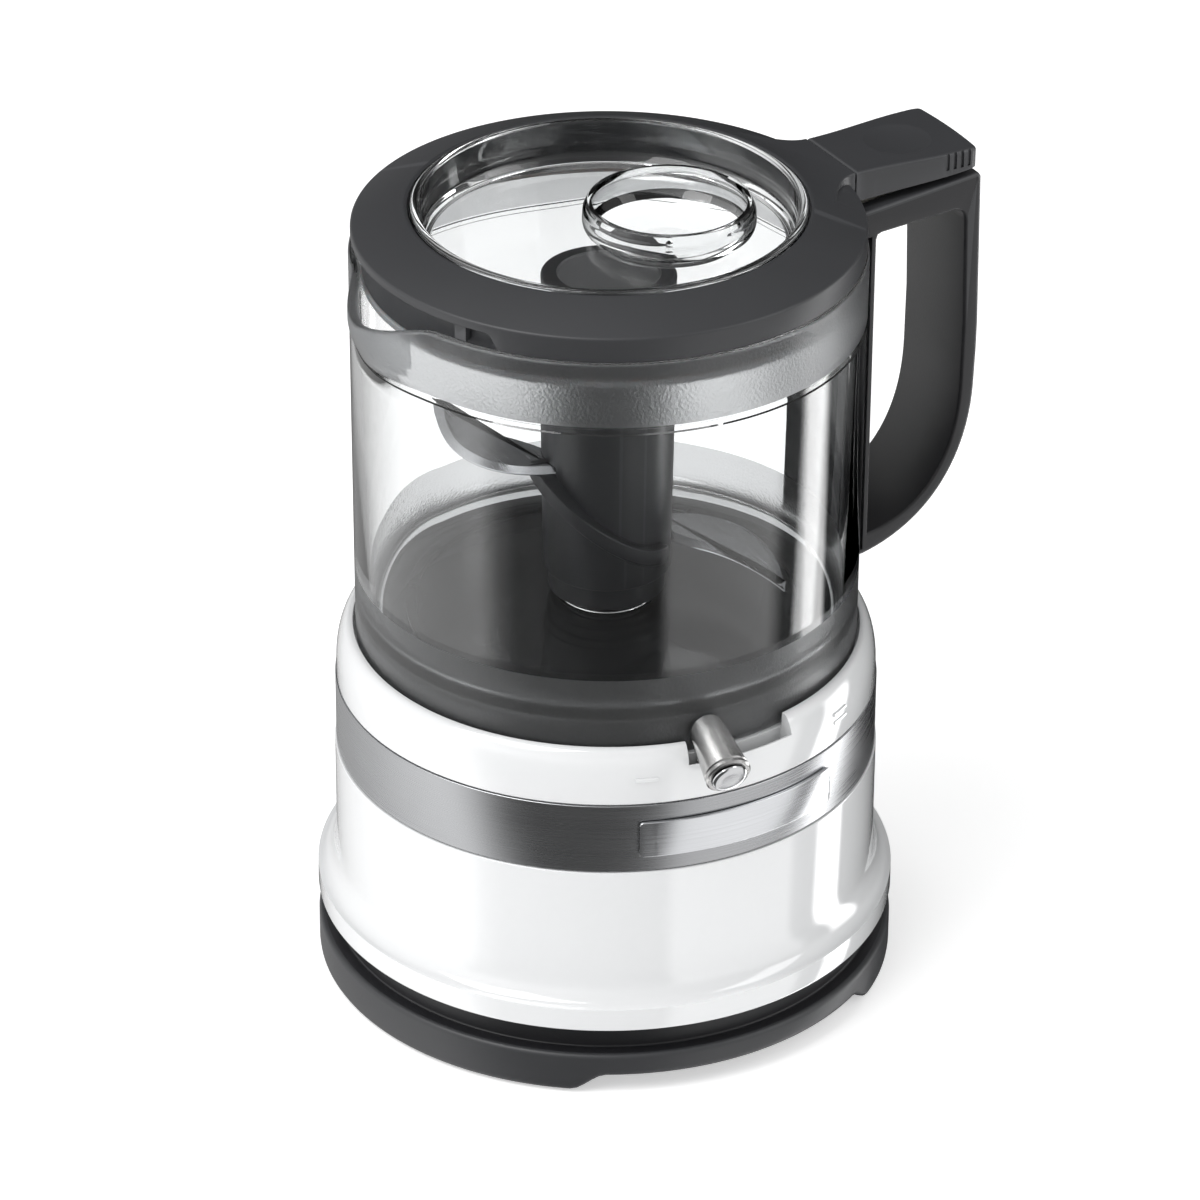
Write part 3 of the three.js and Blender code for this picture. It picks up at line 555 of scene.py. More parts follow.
DECK_LOOK = finish("deck_moulded", (0.014, 0.0145, 0.016), 0.33, 2000, 0.00003, 0.1, wear=0.5)
HUB_CAP = finish("hub_cap_moulded", (0.13, 0.131, 0.134), 0.4, 2000, 0.00003, 0.06, wear=0.2)
HUB_LOOK = finish("hub_moulded", (0.022, 0.023, 0.025), 0.36, 2000, 0.00003, 0.1, wear=0.3)

# The finish of each of the record's material slots, for the CAD nodes that stay
SLOT_LOOKS = {
    "charcoal_plastic": CHARCOAL, "black_plastic": BLACK_AND_PAINTED_SHADE, "white_gloss": WHITE,
    "brushed_band": BRUSHED, "satin_plate": PLATE, "nickel": NICKEL, "chrome": CHROME,
    "blade_steel": BLADE, "machined_steel": SHAFT, "dark_steel": DARK_STEEL,
    "heat_sink_aluminium": FINS, "bronze": BRONZE, "copper": COPPER, "clear_plastic": CLEAR,
    "rubber": RUBBER, "seal_silicone": SILICONE, "nylon": NYLON, "board_green": BOARD,
}


# ---------------------------------------------------------------- bottom cover and feet
def lobe(degrees):
    """1 where the cover's rim reaches down to the table, 0 where it is cut away."""
    nearest = min(angle_between(degrees, d) for d in LOBE_DIRECTIONS)
    half_width, slope = 28.5, 7
    return ease((half_width - nearest) / slope)


def bottom_cover():
    def section(degrees):
        low = 5.2 - 4.6 * lobe(degrees)
        return fillet([
            (59.5, 8.2), (59.5, low, 0.5), (BASE_R, low, 1.8), (BASE_R, COVER_TOP, 1.4),
            (COVER_WELL_R, COVER_TOP, 0.6), (COVER_WELL_R, 23), (68.4, 23), (68.4, 8.2),
        ], 4)
    cover = loft("bottom_cover_shell", section)
    cover = weld(cover, post("cover_floor", 60.5, 5.2, 8.2, steps=128))
    for degrees in FOOT_DIRECTIONS:
        carve(cover, post("foot_pocket", 6.4, 0, 2.2, *polar(FOOT_R, degrees)))
    for degrees in SCREW_DIRECTIONS:
        place = polar(SCREW_R, degrees)
        carve(cover, post("screw_bore", 1.9, 0, 12, *place), post("head_bore", 3.8, 0, 6.9, *place))
    pitch, half = 6, 1.3
    for row in range(-2, 3):
        y0, y1 = row * pitch - half, row * pitch + half
        slot = fillet([(-46, y0, 1.2), (-14, y0, 1.2), (-14, y1, 1.2), (-46, y1, 1.2)], 4)
        carve(cover, flat("vent", slot, 0, 12))
    bore = [(0, 0), (0, 3.9), (16, 3.9), (16, 0)]
    carve(cover, rod_between("inlet_bore", at(0, 64, INLET_Z), at(0, 80, INLET_Z), bore, 48))
    # Painted shade: the ledge and the wall above it, shaded by the housing, take the black finish; the
    # outside is charcoal
    top, edge = (COVER_TOP - 0.25 + TABLE_Z) * MM, (BASE_R - 1.3) * MM
    paint(cover, (CHARCOAL, BLACK_AND_PAINTED_SHADE), lambda centre: centre.z > top and centre.xy.length < edge)
    return dress(cover, "base", "charcoal_plastic", None, "bottom_cover")


def rubber_feet():
    for i, degrees in enumerate(FOOT_DIRECTIONS):
        profile = fillet([(0, 0), (6, 0, 0.5), (6, 1.9, 0.2), (0, 1.9)], 3, closed=False)
        foot = lathe(f"foot_pad_{i + 1}", profile, 64, polar(FOOT_R, degrees))
        dress(foot, "base", "rubber", RUBBER, f"rubber_foot_{i + 1}")


# ---------------------------------------------------------------- housing, band and deck
def housing():
    flare, shoulder = [], []
    for k in range(11):
        c, s = polar(1, 9 * k)
        flare.append((BASE_R - (BASE_R - WALL_R - 0.2) * s, 25.4 + 7.6 * (1 - c)))
        shoulder.append((SHOULDER_R + 4.1 * c, SHOULDER_Z + (SEAT_Z - SHOULDER_Z) * s))
    groove, groove_r = (BAND_Z[0] - 0.3, BAND_Z[1] + 0.3), WALL_R - 1.4
    outline = fillet([
        (72.4, 19), (BASE_R, 19, 0.8), (BASE_R, 24.2), *flare, (WALL_R, 36), (WALL_R, groove[0], 0.35),
        (groove_r, groove[0]), (groove_r, groove[1]), (WALL_R - 0.6, groove[1], 0.3), *shoulder,
        (64.9, SEAT_Z, 0.1), (64.9, LEDGE_Z), (59.5, LEDGE_Z), (59.5, 90.4), (63.5, 90.4), (66.9, 85),
        (66.9, 64), (67.6, 60), (67.6, 34), (72.4, 25.6),
    ], 4)
    shell = loft("housing_shell", lambda degrees: outline)
    for degrees in SCREW_DIRECTIONS:
        place = polar(SCREW_R, degrees)
        weld(shell, post("boss", 4.4, 8.6, 68.6, *place, 32))
        carve(shell, post("boss_hole", 1.7, 8, 18, *place, 24),
              post("plate_hole", 1.7, 58, 70, *place, 24))
    start, end = LEVER_REST - 5, LEVER_REST + LEVER_TRAVEL + 5
    carve(shell, sector("lever_slot", 64.4, 68.6, start, end, 91, 100),
          sector("tab_slot", 64.4, 66.9, start, end, 83, 92),
          post("plunger_bore", 2.0, 76, 100, 66, 0, 32),
          brick("plunger_room", (60, 66.4), (-2.8, 2.8), (80, 90.2)))
    return dress(shell, "base", "white_gloss", WHITE, "housing")


def trim():
    low, high = BAND_Z
    inner = WALL_R - 1.1
    section = fillet([(inner, low), (BAND_R, low, 0.25), (BAND_R, high, 0.25), (inner, high)], 3)
    band = loft("steel_band", lambda degrees: section)
    dress(band, "base", "brushed_band", BRUSHED, "trim_band")
    # The steps are closest at the plate's two ends, where its corners are rounded
    turns = [-90 + PLATE_HALF_TURN * math.cos(math.radians(180 - 3 * k)) for k in range(61)]
    back, face = WALL_R - 0.05, WALL_R + 0.75

    def plate_section(t):
        corner = min(t, 1 - t) * 60
        inset = 0.9 * max(0.0, 1 - corner / 6) ** 2
        low, high = PLATE_Z[0] + inset, PLATE_Z[1] - inset
        return fillet([(back, low), (face, low, 0.3), (face, high, 0.3), (back, high)], 3)

    plate = sweep("front_plate", turns, plate_section)
    dress(plate, "base", "satin_plate", PLATE, "blank_plate", limit=40)


def speed_marks():
    """Raised bars beside the lever: one at its slow end and two at its fast end."""
    rows = [("slow", -111.5, (0,)), ("fast", -61.6, (-1.1, 1.1))]    # name, direction, bars' heights
    for name, middle, shifts in rows:
        bars = []
        for shift in shifts:
            turns = [middle - 2.4 + 4.8 * k / 12 for k in range(13)]
            low, high, lean = MARK_Z + shift - 0.5, MARK_Z + shift + 0.5, 0.05 * shift
            section = fillet([(67.6, low), (69.6 - lean, low, 0.25), (69.4 - lean, high, 0.25),
                              (67.6, high)], 3)
            bars.append(sweep("bar", turns, lambda t: section))
        mark = bars[0]
        mark.name = f"speed_mark_{name}"
        weld(mark, *bars[1:])
        dress(mark, "base", "white_gloss", WHITE)


def drive_deck():
    bore, bush = BUSH_R
    ridge = DECK_Z + 1.2
    section = fillet([
        (bore, 95), (bush, 95), (bush, 97), (58.8, 97), (58.8, 92.9), (61.1, 92.9), (61.1, DECK_Z, 0.7),
        (52.4, DECK_Z, 0.3), (52.4, ridge, 0.35), (49.6, ridge, 0.35), (49.6, DECK_Z, 0.3),
        (bush, DECK_Z, 0.8), (bush, 112, 0.4), (bore, 112, 0.2),
    ], 4)
    deck = loft("deck", lambda degrees: section)
    for degrees in (30, 150, 270):
        notch = fillet([(47, -4, 0.8), (56, -4, 0.8), (56, 4, 0.8), (47, 4, 0.8)], 3)
        carve(deck, slab("notch", notch, DECK_Z + 0.02, 104, turned_by(degrees)))
    return dress(deck, "base", "charcoal_plastic", DECK_LOOK, "drive_deck")


def spindle():
    r, (low, high) = SPINDLE_R, SPINDLE_Z
    profile = fillet([(0, low), (r, low, 0.3), (r, high, 0.9), (0, high)], 4, closed=False)
    shaft = lathe("spindle", profile, 64)
    for name, x in (("flat_a", (3.1, 8)), ("flat_b", (-8, -3.1))):
        carve(shaft, brick(name, x, (-8, 8), (153, 175)))
    return dress(shaft, "drive", "machined_steel", SHAFT, "drive_spindle")


# ---------------------------------------------------------------- speed lever
def speed_lever():
    root = at(*polar(62, LEVER_REST), 100.2)
    tip = at(*polar(79.2, LEVER_REST), 93.5)
    length = (tip - root).length / MM
    profile = [(0, 0), (0, 4.2), (length - 1.9, 5.75), (length - 1.6, 5.45), (length - 1.3, 5.75),
               (length - 0.4, 5.88), (length, 5.5), (length, 0)]
    bar = rod_between("lever_bar", root, tip, profile)
    carve(bar, post("bowl_room", 65.5, 80, 120, steps=192))
    # Inside the housing: a tab, and a flat arm, ring sector and fork that work the slide switch
    inner = [("tab", 65.5, 66.5, LEVER_TAB, 84, 97), ("arm", 50, 66.5, LEVER_TAB, 84.2, 87),
             ("carriage", 50, 56, 34, 84.2, 87), ("fork", 45.4, 51, 4.4, 84.2, 87)]
    for name, r0, r1, half, z0, z1 in inner:
        weld(bar, sector(name, r0, r1, LEVER_REST - half, LEVER_REST + half, z0, z1))
    bite = [(44, -1.9), (49.9, -1.9), (49.9, 1.9), (44, 1.9)]
    carve(bar, slab("bite", bite, 80, 90, turned_by(LEVER_REST)))
    dress(bar, "lever", "nickel", NICKEL, "speed_lever")
    out = (tip - root).normalized()
    start = tip + out * 0.3 * MM
    button = [(0, 0), (0, 4.4), (0.2, 4.6), (0.5, 4.5), (0.8, 4.1), (0.9, 3.6), (0.86, 2.0), (0.84, 0)]
    cap = rod_between("lever_end", start, start + out * 0.9 * MM, button)
    dress(cap, "lever", "chrome", CHROME, "lever_cap")


# ---------------------------------------------------------------- bowl
def wall_radius(z):
    """Outer radius of the bowl's wall away from the spout."""
    return BOWL_R + (BOWL_TOP_R - BOWL_R) * (z - BOWL_FOOT_Z) / (RIM_Z - BOWL_FOOT_Z)


def bowl_section(degrees):
    """The bowl's outline in one direction: foot, wall, rim, and inside down to the central tube."""
    spout = ease((SPOUT_HALF_TURN - angle_between(degrees, 180)) / SPOUT_HALF_TURN)
    dip = SPOUT_DIP * spout

    def flare(z):
        return SPOUT_OUT * spout * ease((z - SPOUT_Z) / 18)

    rise = [SPOUT_Z, 183.4, 183.7, 184.9, 185.2, FROST_HIGH, 188, 190.5, 193, 195.5, 198 - dip * 0.5]
    groove = [0, 0, 0.4, 0.4, 0, 0, 0, 0, 0, 0, 0]
    top = RIM_Z - dip
    reach = flare(RIM_Z)
    outline = [(61.7, LEDGE_Z + 0.5, 0.3), (BOWL_R - 0.3, LEDGE_Z + 0.5, 0.5), (BOWL_R, 96),
               (wall_radius(FROST_LOW), FROST_LOW)]
    outline += [(wall_radius(z) + flare(z) - g, z) for z, g in zip(rise, groove)]
    outline += [(BOWL_TOP_R + reach, top, 0.8), (BOWL_TOP_R - BOWL_T + reach, top, 0.8)]
    outline += [(wall_radius(z) - BOWL_T + flare(z), z) for z in reversed(rise)]
    inside_r = wall_radius(FLOOR_CORNER_Z) - BOWL_T
    for k in range(9):
        c, s = polar(1, 90 * k / 8)
        outline.append((FLOOR_CORNER_R + (inside_r - FLOOR_CORNER_R) * c,
                        FLOOR_CORNER_Z - (FLOOR_CORNER_Z - FLOOR_Z) * s))
    outline += [(12.8, FLOOR_Z, 1.6), (12.6, TUBE_TOP, 0.7), (10.8, TUBE_TOP, 0.3), (10.8, 102.4),
                (60.4, 102.4, 0.4), (61.7, 101, 0.4)]
    return fillet(outline, 4)


def frosted(centre):
    """True on the outside of the wall, below and above its clear part."""
    z = centre.z / MM - TABLE_Z
    outside = centre.xy.length / MM > wall_radius(z) - 0.6
    return outside and not FROST_LOW <= z <= FROST_HIGH


def bowl():
    jug = loft("bowl_wall", bowl_section, 288)
    paint(jug, (CLEAR, FROSTED), frosted)
    return dress(jug, "bowl", "clear_plastic", None, "bowl", "bowl_floor")


def grip_outline():
    """The handle with its loop, seen from the front."""
    outline = [(63, 201), (GRIP_X - 2, 204.7)]
    outline += [(GRIP_X - 2 + 1.2 * t, 204.7 - 1.3 * t * t) for t in (0.25, 0.5, 0.75, 1)]
    outline += [(GRIP_X, 162), (GRIP_X - 0.1, 154), (GRIP_X - 0.4, 146)]
    outline += bezier((GRIP_X - 0.4, 146), (GRIP_X - 0.9, 122), (88, 106.6), (68.5, 102.6), 28)
    return outline + [(63, 102.6)]


def finger_hole():
    """The opening inside the handle's loop, seen from the front."""
    hole = [(69.9, 108.6)]
    hole += bezier((69.9, 108.6), (84, 110.8), (96.4, 121), (96.9, 146), 28)
    hole += [(97.1, 162), (96.3, 192)]
    hole += bezier((96.3, 192), (96.1, 194.5), (94.9, 195.7), (92.6, 195.7), 6)
    hole += [(71.4, 194.6), (70.3, 194.2), (69.9, 193)]
    return hole


def inside(outline, x, y):
    """True where a point lies inside a closed outline."""
    crossings = 0
    for i, (x1, y1) in enumerate(outline):
        x0, y0 = outline[i - 1]
        if (y0 > y) != (y1 > y) and x < x0 + (x1 - x0) * (y - y0) / (y1 - y0):
            crossings += 1
    return crossings % 2 == 1


def paint(piece, materials, second):
    """Gives a piece two materials; second(centre) is true for faces that take the second one."""
    piece.data.materials.clear()
    for material in materials:
        piece.data.materials.append(material)
    for face in piece.data.polygons:
        face.material_index = 1 if second(face.center) else 0


def handle():
    rim = offset(finger_hole(), 0.7)
    grip = pillow("grip", grip_outline(), -GRIP_HALF, GRIP_HALF, upright, 1.0, 1.0)
    hole = pillow("finger_hole", finger_hole(), -GRIP_HALF, GRIP_HALF, upright, 0.8, 0.8, hole=True)
    carve(grip, hole, post("bowl_room", BOWL_TOP_R + 0.5, 90, 220, steps=288),
          brick("column_room", (60, 68.4), (-20, 20), (104.2, 194.2)),
          brick("lever_well", (CHANNEL_X, 98.6), (-9, 9), (197.3, 210)),
          brick("rod_slot", (CHANNEL_X, 68.2), (-ROD_HALF, ROD_HALF), (90, 200)),
          pin_along_y("pin_bore", 1.5, 12, 94.5, 201))
    paint(grip, (CHARCOAL, BLACK_AND_PAINTED_SHADE),
          lambda centre: inside(rim, centre.x / MM, centre.z / MM - TABLE_Z))
    dress(grip, "bowl", "charcoal_plastic", None, "bowl_handle")
    low, high, half = 104.5, 193.9, 13.4
    outline = fillet([(low, -half, 0.8), (high, -half, 0.8), (high, half, 0.8), (low, half, 0.8)], 3)
    column = pillow("column", outline, 60, 68.1, lambda u, v, w: at(w, v, u), 0, 0.6, steps=3)
    carve(column, post("bowl_room", BOWL_TOP_R + 0.4, 90, 220, steps=288),
          brick("rod_channel", (65.4, 70), (-ROD_HALF, ROD_HALF), (100, 200)))
    dress(column, "bowl", "black_plastic", BLACK_AND_PAINTED_SHADE, "handle_column")


def plunger_spring():
    """Coil under the plunger."""
    turns, radius, wire = 5, 2.4, 0.45
    low, high, x = 72.3, 86.6, 56
    steps, around = 36 * turns, 12
    points = []
    for i in range(steps + 1):
        c, s = polar(1, 360 * turns * i / steps)
        z = low + wire + (high - low - 2 * wire) * i / steps
        for k in range(around):
            out, up = polar(wire, 360 * k / around)
            points.append(at(x + (radius + out) * c, (radius + out) * s, z + up))
    spring = make("plunger_coil", points, quads(steps + 1, around) + caps(steps + 1, around))
    dress(spring, "base", "machined_steel", SHAFT, "plunger_spring")
    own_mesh(spring)


# ---------------------------------------------------------------- lid and paddle
def lid_ring():
    def section(degrees):
        # The ring's edge is cut away above the spout
        low = RIM_Z + 0.35 + 4.2 * ease((36 - angle_between(degrees, 180)) / 3)
        inner, outer = 49.8, 51.6
        return fillet([
            (LID_R, low, 0.3), (LID_R, 209.1, 0.9), (inner + 0.7, CREST_Z, 1.0),
            (inner, CREST_Z - 0.3, 0.2), (inner, 200.2, 0.3), (outer, 200.2, 0.3), (outer, 211.2, 0.5),
            (59.6, 208.6, 0.4), (59.6, 197.4, 0.4), (61.2, 197.4, 0.4), (61.2, 208.2, 0.2),
            (62.2, 208.2, 0.2), (62.2, low, 0.3),
        ], 4)
    ring = loft("lid_frame", section, 360)
    tip, root = (64.2, 11.7), (46, 24)
    flare = bezier(tip, (60.5, 11.7), (57, 14.5), (51, 24), 16)
    half = [tip, *flare, root]
    stub = [(x, -y) for x, y in reversed(half)] + half
    gusset = pillow("paddle_stub", stub, 207.4, 212, at, 0, 0.5, steps=5)
    carve(gusset, post("window_room", 52, 200, 220, steps=128))
    weld(ring, gusset)
    ear = fillet([(62.6, 203.8), (68.6, 203.8, 1.6), (68.6, 208.8, 1.6), (62.6, 208.8)], 4)
    spout_post = [(61.4, -1.6), (63.4, -1.6), (63.4, 1.6), (61.4, 1.6)]
    for side in (-1, 1):
        y = side * EAR_Y
        weld(ring, side_on("ear", ear, y - 1.3, y + 1.3),
             slab("spout_post", spout_post, 203, 208.6, turned_by(154 * side)))
    carve(ring, pin_along_y("pin_bore", 1.2, 11.3, PIN_X, PIN_Z))
    return dress(ring, "lid", "charcoal_plastic", CHARCOAL, "lid_ring")


def lid_window():
    profile = fillet([
        (0, 201.6), (46.4, 201.6, 0.8), (47.2, 200.4, 0.3), (WINDOW_R - 0.3, 200.4, 0.4),
        (WINDOW_R, 201.4, 0.3), (WINDOW_R, 214.3, 1.1), (47, 214.2, 1.0), (46.2, 206, 2.5),
        (44.6, 203.7, 1.2), (0, 203.6),
    ], 6, closed=False)
    pane = lathe("window_pane", profile)
    outer = fillet([(0, 197.2), (10, 197.2, 4), (17.5, 199, 5), (21.8, 204.6, 4), (21.6, 208.4, 2),
                    (20.6, 210.7, 0.5), (0, 210.7)], 6, closed=False)
    inner = fillet([(0, 198.9), (9.6, 198.9, 4), (16.2, 200.4, 4.5), (20.1, 205.2, 4), (19.8, 208.4, 2),
                    (19.2, 211.5), (0, 211.5)], 6, closed=False)
    weld(pane, lathe("cup", outer, 144, (CUP_X, 0)))
    carve(pane, lathe("cup_room", inner, 144, (CUP_X, 0)))
    for degrees in (0, 120, 240):
        x, y = polar(5, degrees)
        carve(pane, post("drip_hole", 0.9, 195, 202, CUP_X + x, y, 24))
    return dress(pane, "lid", "clear_plastic", CLEAR, "lid_window")


def lid_seal():
    section = fillet([(59.8, 195.2, 0.2), (61.4, 195.2, 0.5), (61.6, 197.1, 0.2), (59.8, 197.1, 0.2)], 3)
    seal = loft("seal", lambda degrees: section)
    return dress(seal, "lid", "seal_silicone", SILICONE, "lid_seal")


def paddle():
    corner, nose = (99.4, -12.4), (100.2, -4.1)
    root, end = (PADDLE_ROOT[0], -PADDLE_ROOT[1]), (PADDLE_END[0], -PADDLE_END[1])
    half = [root, *bezier(root, (76, -11.8), (84, -14), end, 20)]
    half += bezier(end, (98, -14), (99.3, -13.6), corner, 5)
    front = bezier(corner, nose, (nose[0], -nose[1]), (corner[0], -corner[1]), 16)
    outline = half + front[:-1] + [(x, -y) for x, y in reversed(half)]
    arm = pillow("paddle_arm", outline, 200, PADDLE_TOP, at, 0, 0.9, steps=10)
    below = [(60, 190), (104, 190), (104, 206.9), (70, 204.2), (60, 203.9)]
    carve(arm, side_on("below", below, -20, 20))
    weld(arm, brick("nub", (82.8, 85.2), (-4, 4), (202.35, 207)))
    arc = [(THUMB_R * math.sin(math.radians(a)), 253.1 - THUMB_R * math.cos(math.radians(a)))
           for a in range(19)]
    dish = [(0, arc[0][1]), *arc[1:], (arc[-1][0], 230), (0, 230)]
    carve(arm, lathe("thumb_dish", dish, 160, (84, 0)))
    for side in (-1, 1):
        room = sorted((side * 8.2, side * 11.5))
        carve(arm, brick("ear_room", (60, 69.2), room, (200, 209.4)))
        edge = sorted((side * 13.4, side * 16))
        for i in range(4):
            x = 90 + 2.1 * i
            carve(arm, brick("groove", (x, x + 0.9), edge, (207.4, 213)))
    carve(arm, pin_along_y("pin_bore", 1.5, 11.5, PIN_X, PIN_Z))
    return dress(arm, "paddle", "charcoal_plastic", CHARCOAL, "pulse_paddle", limit=10.5)


# ---------------------------------------------------------------- blade
def sickle():
    """A blade's outline, seen from above."""
    outline = [(15.2, 3)]
    outline += bezier((15.2, 3), (30, 0), (36, -14), (31.8, -29), 28)
    outline += bezier((31.8, -29), (30.3, -35), (27.7, -40.8), (24.2, -46.5), 12)
    outline += bezier((24.2, -46.5), (23.8, -35.5), (21.9, -26.7), (18, -20), 14)
    outline += bezier((18, -20), (15.3, -16), (13.5, -12.3), (12.6, -9), 8)
    return outline


def blades():
    outline = sickle()
    for name, z, turn in BLADE_ROWS:
        layers = [(z, offset(outline, -0.1)), (z + 0.25, outline), (z + 0.45, offset(outline, -0.1)),
                  (z + BLADE_T, offset(outline, -1.9))]
        steel = layered(name + "_steel", layers, turned_by(turn))
        carve(steel, post("hub_room", 15, z - 5, z + 7, steps=96))
        dress(steel, "blade", "blade_steel", BLADE, name, limit=20)


def rib():
    """The ramp that winds down the hub from the upper blade to the lower one."""
    start, turn, steps = 172, 123, 72

    def section(t):
        mid = 145.2 - 23.7 * ease(0.15 + 0.85 * t) - 0.5 * t
        outer = 21 - 2 * t
        corners = [(15, -2.8), (outer, -2.4, 0.9), (outer, 2.4, 0.5), (15, 2.8)]
        return [(r, mid + dz) for r, dz in fillet(corners, 3)]

    return sweep("rib", [start + turn * k / steps for k in range(steps + 1)], section)


def blade_hub():
    low, high = HUB_Z
    socket, ceiling = 4.5, 189.5
    profile = fillet([
        (0, 171), (socket, 171), (socket, 151, 0.4), (7.5, 151, 0.4), (7.5, ceiling), (14.2, ceiling),
        (13.5, low, 0.3), (COLLAR_R, low, 0.3), (COLLAR_R, COLLAR_TOP), (16.3, COLLAR_TOP, 0.5),
        (17.38, high, 1.2), (HUB_TOP_R, high, 0.25), (HUB_TOP_R - 0.4, high - 0.5, 0.25),
        (0, high - 0.5),
    ], 4, closed=False)
    hub = lathe("hub", profile, 160)
    weld(hub, rib())
    for name, x in (("key_a", (3.45, 6)), ("key_b", (-6, -3.45))):
        weld(hub, brick(name, x, (-4, 4), (153.5, 172)))
    for _, z, turn in BLADE_ROWS:
        room = slab("blade_room", offset(sickle(), 0.05), z - 0.3, z + BLADE_T + 0.3, turned_by(turn))
        carve(room, post("inner", 14.6, z - 5, z + 7, steps=96))
        carve(hub, room)
    top, rim = (high - 0.6 + TABLE_Z) * MM, (HUB_TOP_R + 0.1) * MM
    paint(hub, (HUB_LOOK, HUB_CAP), lambda centre: centre.z > top and centre.xy.length < rim)
    return dress(hub, "blade", "black_plastic", None, "blade_hub")


# ---------------------------------------------------------------- stage, lights and camera
def stage():
    """A pale floor. Rays mirrored before they scatter pass through it and see the studio's panels."""
    edge = 6.0 / MM
    floor = brick("floor", (-edge, edge), (-edge, edge), (-10, 0))
    pale = finish("pale_floor", (0.9, 0.9, 0.9), 0.7, 40, 0.00001, 0.004, Emission_Color=(1, 1, 1, 1),
                  Emission_Strength=0.45)
    nodes, links = pale.node_tree.nodes, pale.node_tree.links
    clear = nodes.new("ShaderNodeBsdfTransparent")
    rays = nodes.new("ShaderNodeLightPath")
    mix = nodes.new("ShaderNodeMixShader")
    # One diffuse bounce outweighs all the mirrored ones
    mirrored = calculate(nodes, links, "MULTIPLY_ADD", rays.outputs["Diffuse Depth"], -99,
                      rays.outputs["Glossy Depth"], clamp=True)
    links.new(mirrored, mix.inputs["Fac"])
    links.new(nodes["Principled BSDF"].outputs["BSDF"], mix.inputs[1])
    links.new(clear.outputs["BSDF"], mix.inputs[2])
    links.new(mix.outputs["Shader"], nodes["Material Output"].inputs["Surface"])
    floor.data.materials.append(pale)


def softbox(name, position, size, power):
    """A soft lamp turned towards the middle of the object; position and size are in metres."""
    data = bpy.data.lights.new(name, "AREA")
    data.shape = "RECTANGLE"
    data.size, data.size_y = size
    data.energy = power
    lamp = bpy.data.objects.new(name, data)
    bpy.context.scene.collection.objects.link(lamp)
    lamp.location = position
    lamp.rotation_euler = (at(0, 0, 110) - lamp.location).to_track_quat("-Z", "Y").to_euler()


def softboxes():
    softbox("key", (-0.9, -0.1, 1.5), (1.0, 1.0), 14)
    softbox("fill", (0.9, -0.9, 1.1), (0.5, 1.2), 4)


# Brightness of the studio by direction, in degrees from +X: below and at the horizon, and higher up
LOW_ZONES = [(-180, 1.6), (-170, 0.5), (-162, 0.12), (-96, 0.12), (-90, 1.1), (-38, 1.1), (-33, 0.04),
             (-22, 0.04), (-18, 5.0), (-6, 5.0), (-2, 0.0), (62, 0.0), (80, 0.5), (115, 0.8), (180, 1.6)]
HIGH_ZONES = [(-180, 1.4), (-150, 0.8), (-120, 0.45), (-60, 0.5), (-30, 0.8), (0, 0.5), (35, 0.08),
              (85, 0.08), (120, 0.9), (180, 1.4)]
CEILING = 0.55


def zones_by_direction(nodes, links, turn, zones):
    """A colour ramp round the horizon from one of the lists of zones."""
    ramp = nodes.new("ShaderNodeValToRGB")
    links.new(turn, ramp.inputs["Fac"])
    stops = ramp.color_ramp.elements
    while len(stops) < len(zones):
        stops.new(0.5)
    for stop, (degrees, value) in zip(stops, zones):
        stop.position = (degrees + 180) / 360
        stop.color = (value, value, value, 1)
    return ramp.outputs["Color"]


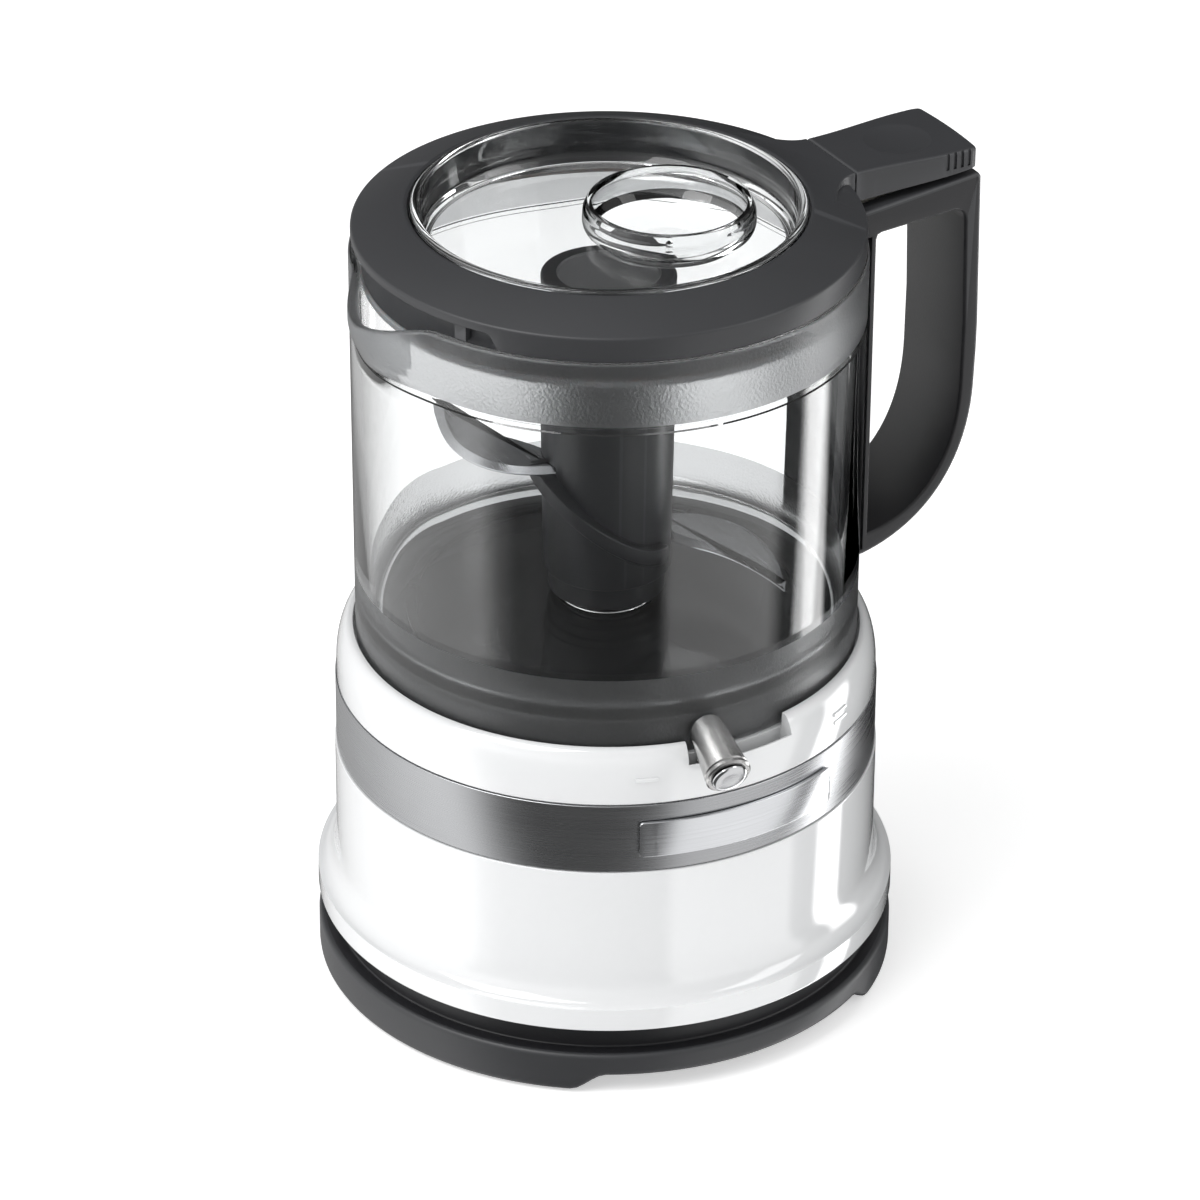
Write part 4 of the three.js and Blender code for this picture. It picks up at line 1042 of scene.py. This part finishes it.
def studio_world():
    """A studio with a pale panel on the left, a bright strip on the right and a black flag beside it."""
    world = bpy.data.worlds.new("studio")
    bpy.context.scene.world = world
    world.use_nodes = True
    nodes, links = world.node_tree.nodes, world.node_tree.links
    split = nodes.new("ShaderNodeSeparateXYZ")
    links.new(nodes.new("ShaderNodeTexCoord").outputs["Generated"], split.inputs["Vector"])
    azimuth = calculate(nodes, links, "ARCTAN2", split.outputs["Y"], split.outputs["X"])
    turn = spread(nodes, links, azimuth, 0, 1, -math.pi, math.pi)
    low = zones_by_direction(nodes, links, turn, LOW_ZONES)
    high = zones_by_direction(nodes, links, turn, HIGH_ZONES)
    rise = spread(nodes, links, split.outputs["Z"], 0, 1, 0.0, 0.25)
    sides = mixed(nodes, links, rise, low, high)
    crown = spread(nodes, links, split.outputs["Z"], 0, 1, 0.75, 0.9)
    whole = mixed(nodes, links, crown, sides, (CEILING, CEILING, CEILING))
    links.new(whole, nodes["Background"].inputs["Color"])
    nodes["Background"].inputs["Strength"].default_value = 1.0


CAMERA_TURN, CAMERA_TILT, CAMERA_ROLL = -30, 29.85, 0.36            # degrees
CAMERA_DISTANCE = 1.487                                             # metres from the aim
CAMERA_AIM_Z = 101.3
CAMERA_SIDE = -1.63


def camera():
    turn, tilt, roll = (math.radians(a) for a in (CAMERA_TURN, CAMERA_TILT, CAMERA_ROLL))
    back = Vector((0, -math.cos(tilt), math.sin(tilt)))
    right = Vector((1, 0, 0))
    up = Vector((0, math.sin(tilt), math.cos(tilt)))
    side = math.cos(roll) * right + math.sin(roll) * up
    top = -math.sin(roll) * right + math.cos(roll) * up
    place = back * CAMERA_DISTANCE + at(0, 0, CAMERA_AIM_Z) + CAMERA_SIDE * MM * side
    matrix = Matrix.Identity(4)
    for column, axis in enumerate((side, top, back)):
        for row in range(3):
            matrix[row][column] = axis[row]
    matrix.translation = place
    data = bpy.data.cameras.new("camera")
    data.lens = 174.4
    data.sensor_width = 36
    data.clip_end = 50
    eye = bpy.data.objects.new("camera", data)
    bpy.context.scene.collection.objects.link(eye)
    eye.matrix_world = Matrix.Rotation(turn, 4, "Z") @ matrix
    bpy.context.scene.camera = eye


def dress_cad_nodes():
    """Gives the CAD nodes that stay in view or inside the housing the same finishes."""
    for row in frame["record"]["subparts"]:
        for entry in frame["nodes"][row["node"]].material_slots:
            entry.material = SLOT_LOOKS[row["material_slot"]]


def build():
    camera()
    studio_world()
    bottom_cover()
    rubber_feet()
    housing()
    trim()
    speed_marks()
    drive_deck()
    spindle()
    speed_lever()
    bowl()
    handle()
    plunger_spring()
    lid_ring()
    lid_window()
    lid_seal()
    paddle()
    blades()
    blade_hub()
    stage()
    dress_cad_nodes()
    softboxes()


build()
bpy.context.scene.view_settings.view_transform = "Standard"
bpy.context.view_layer.update()
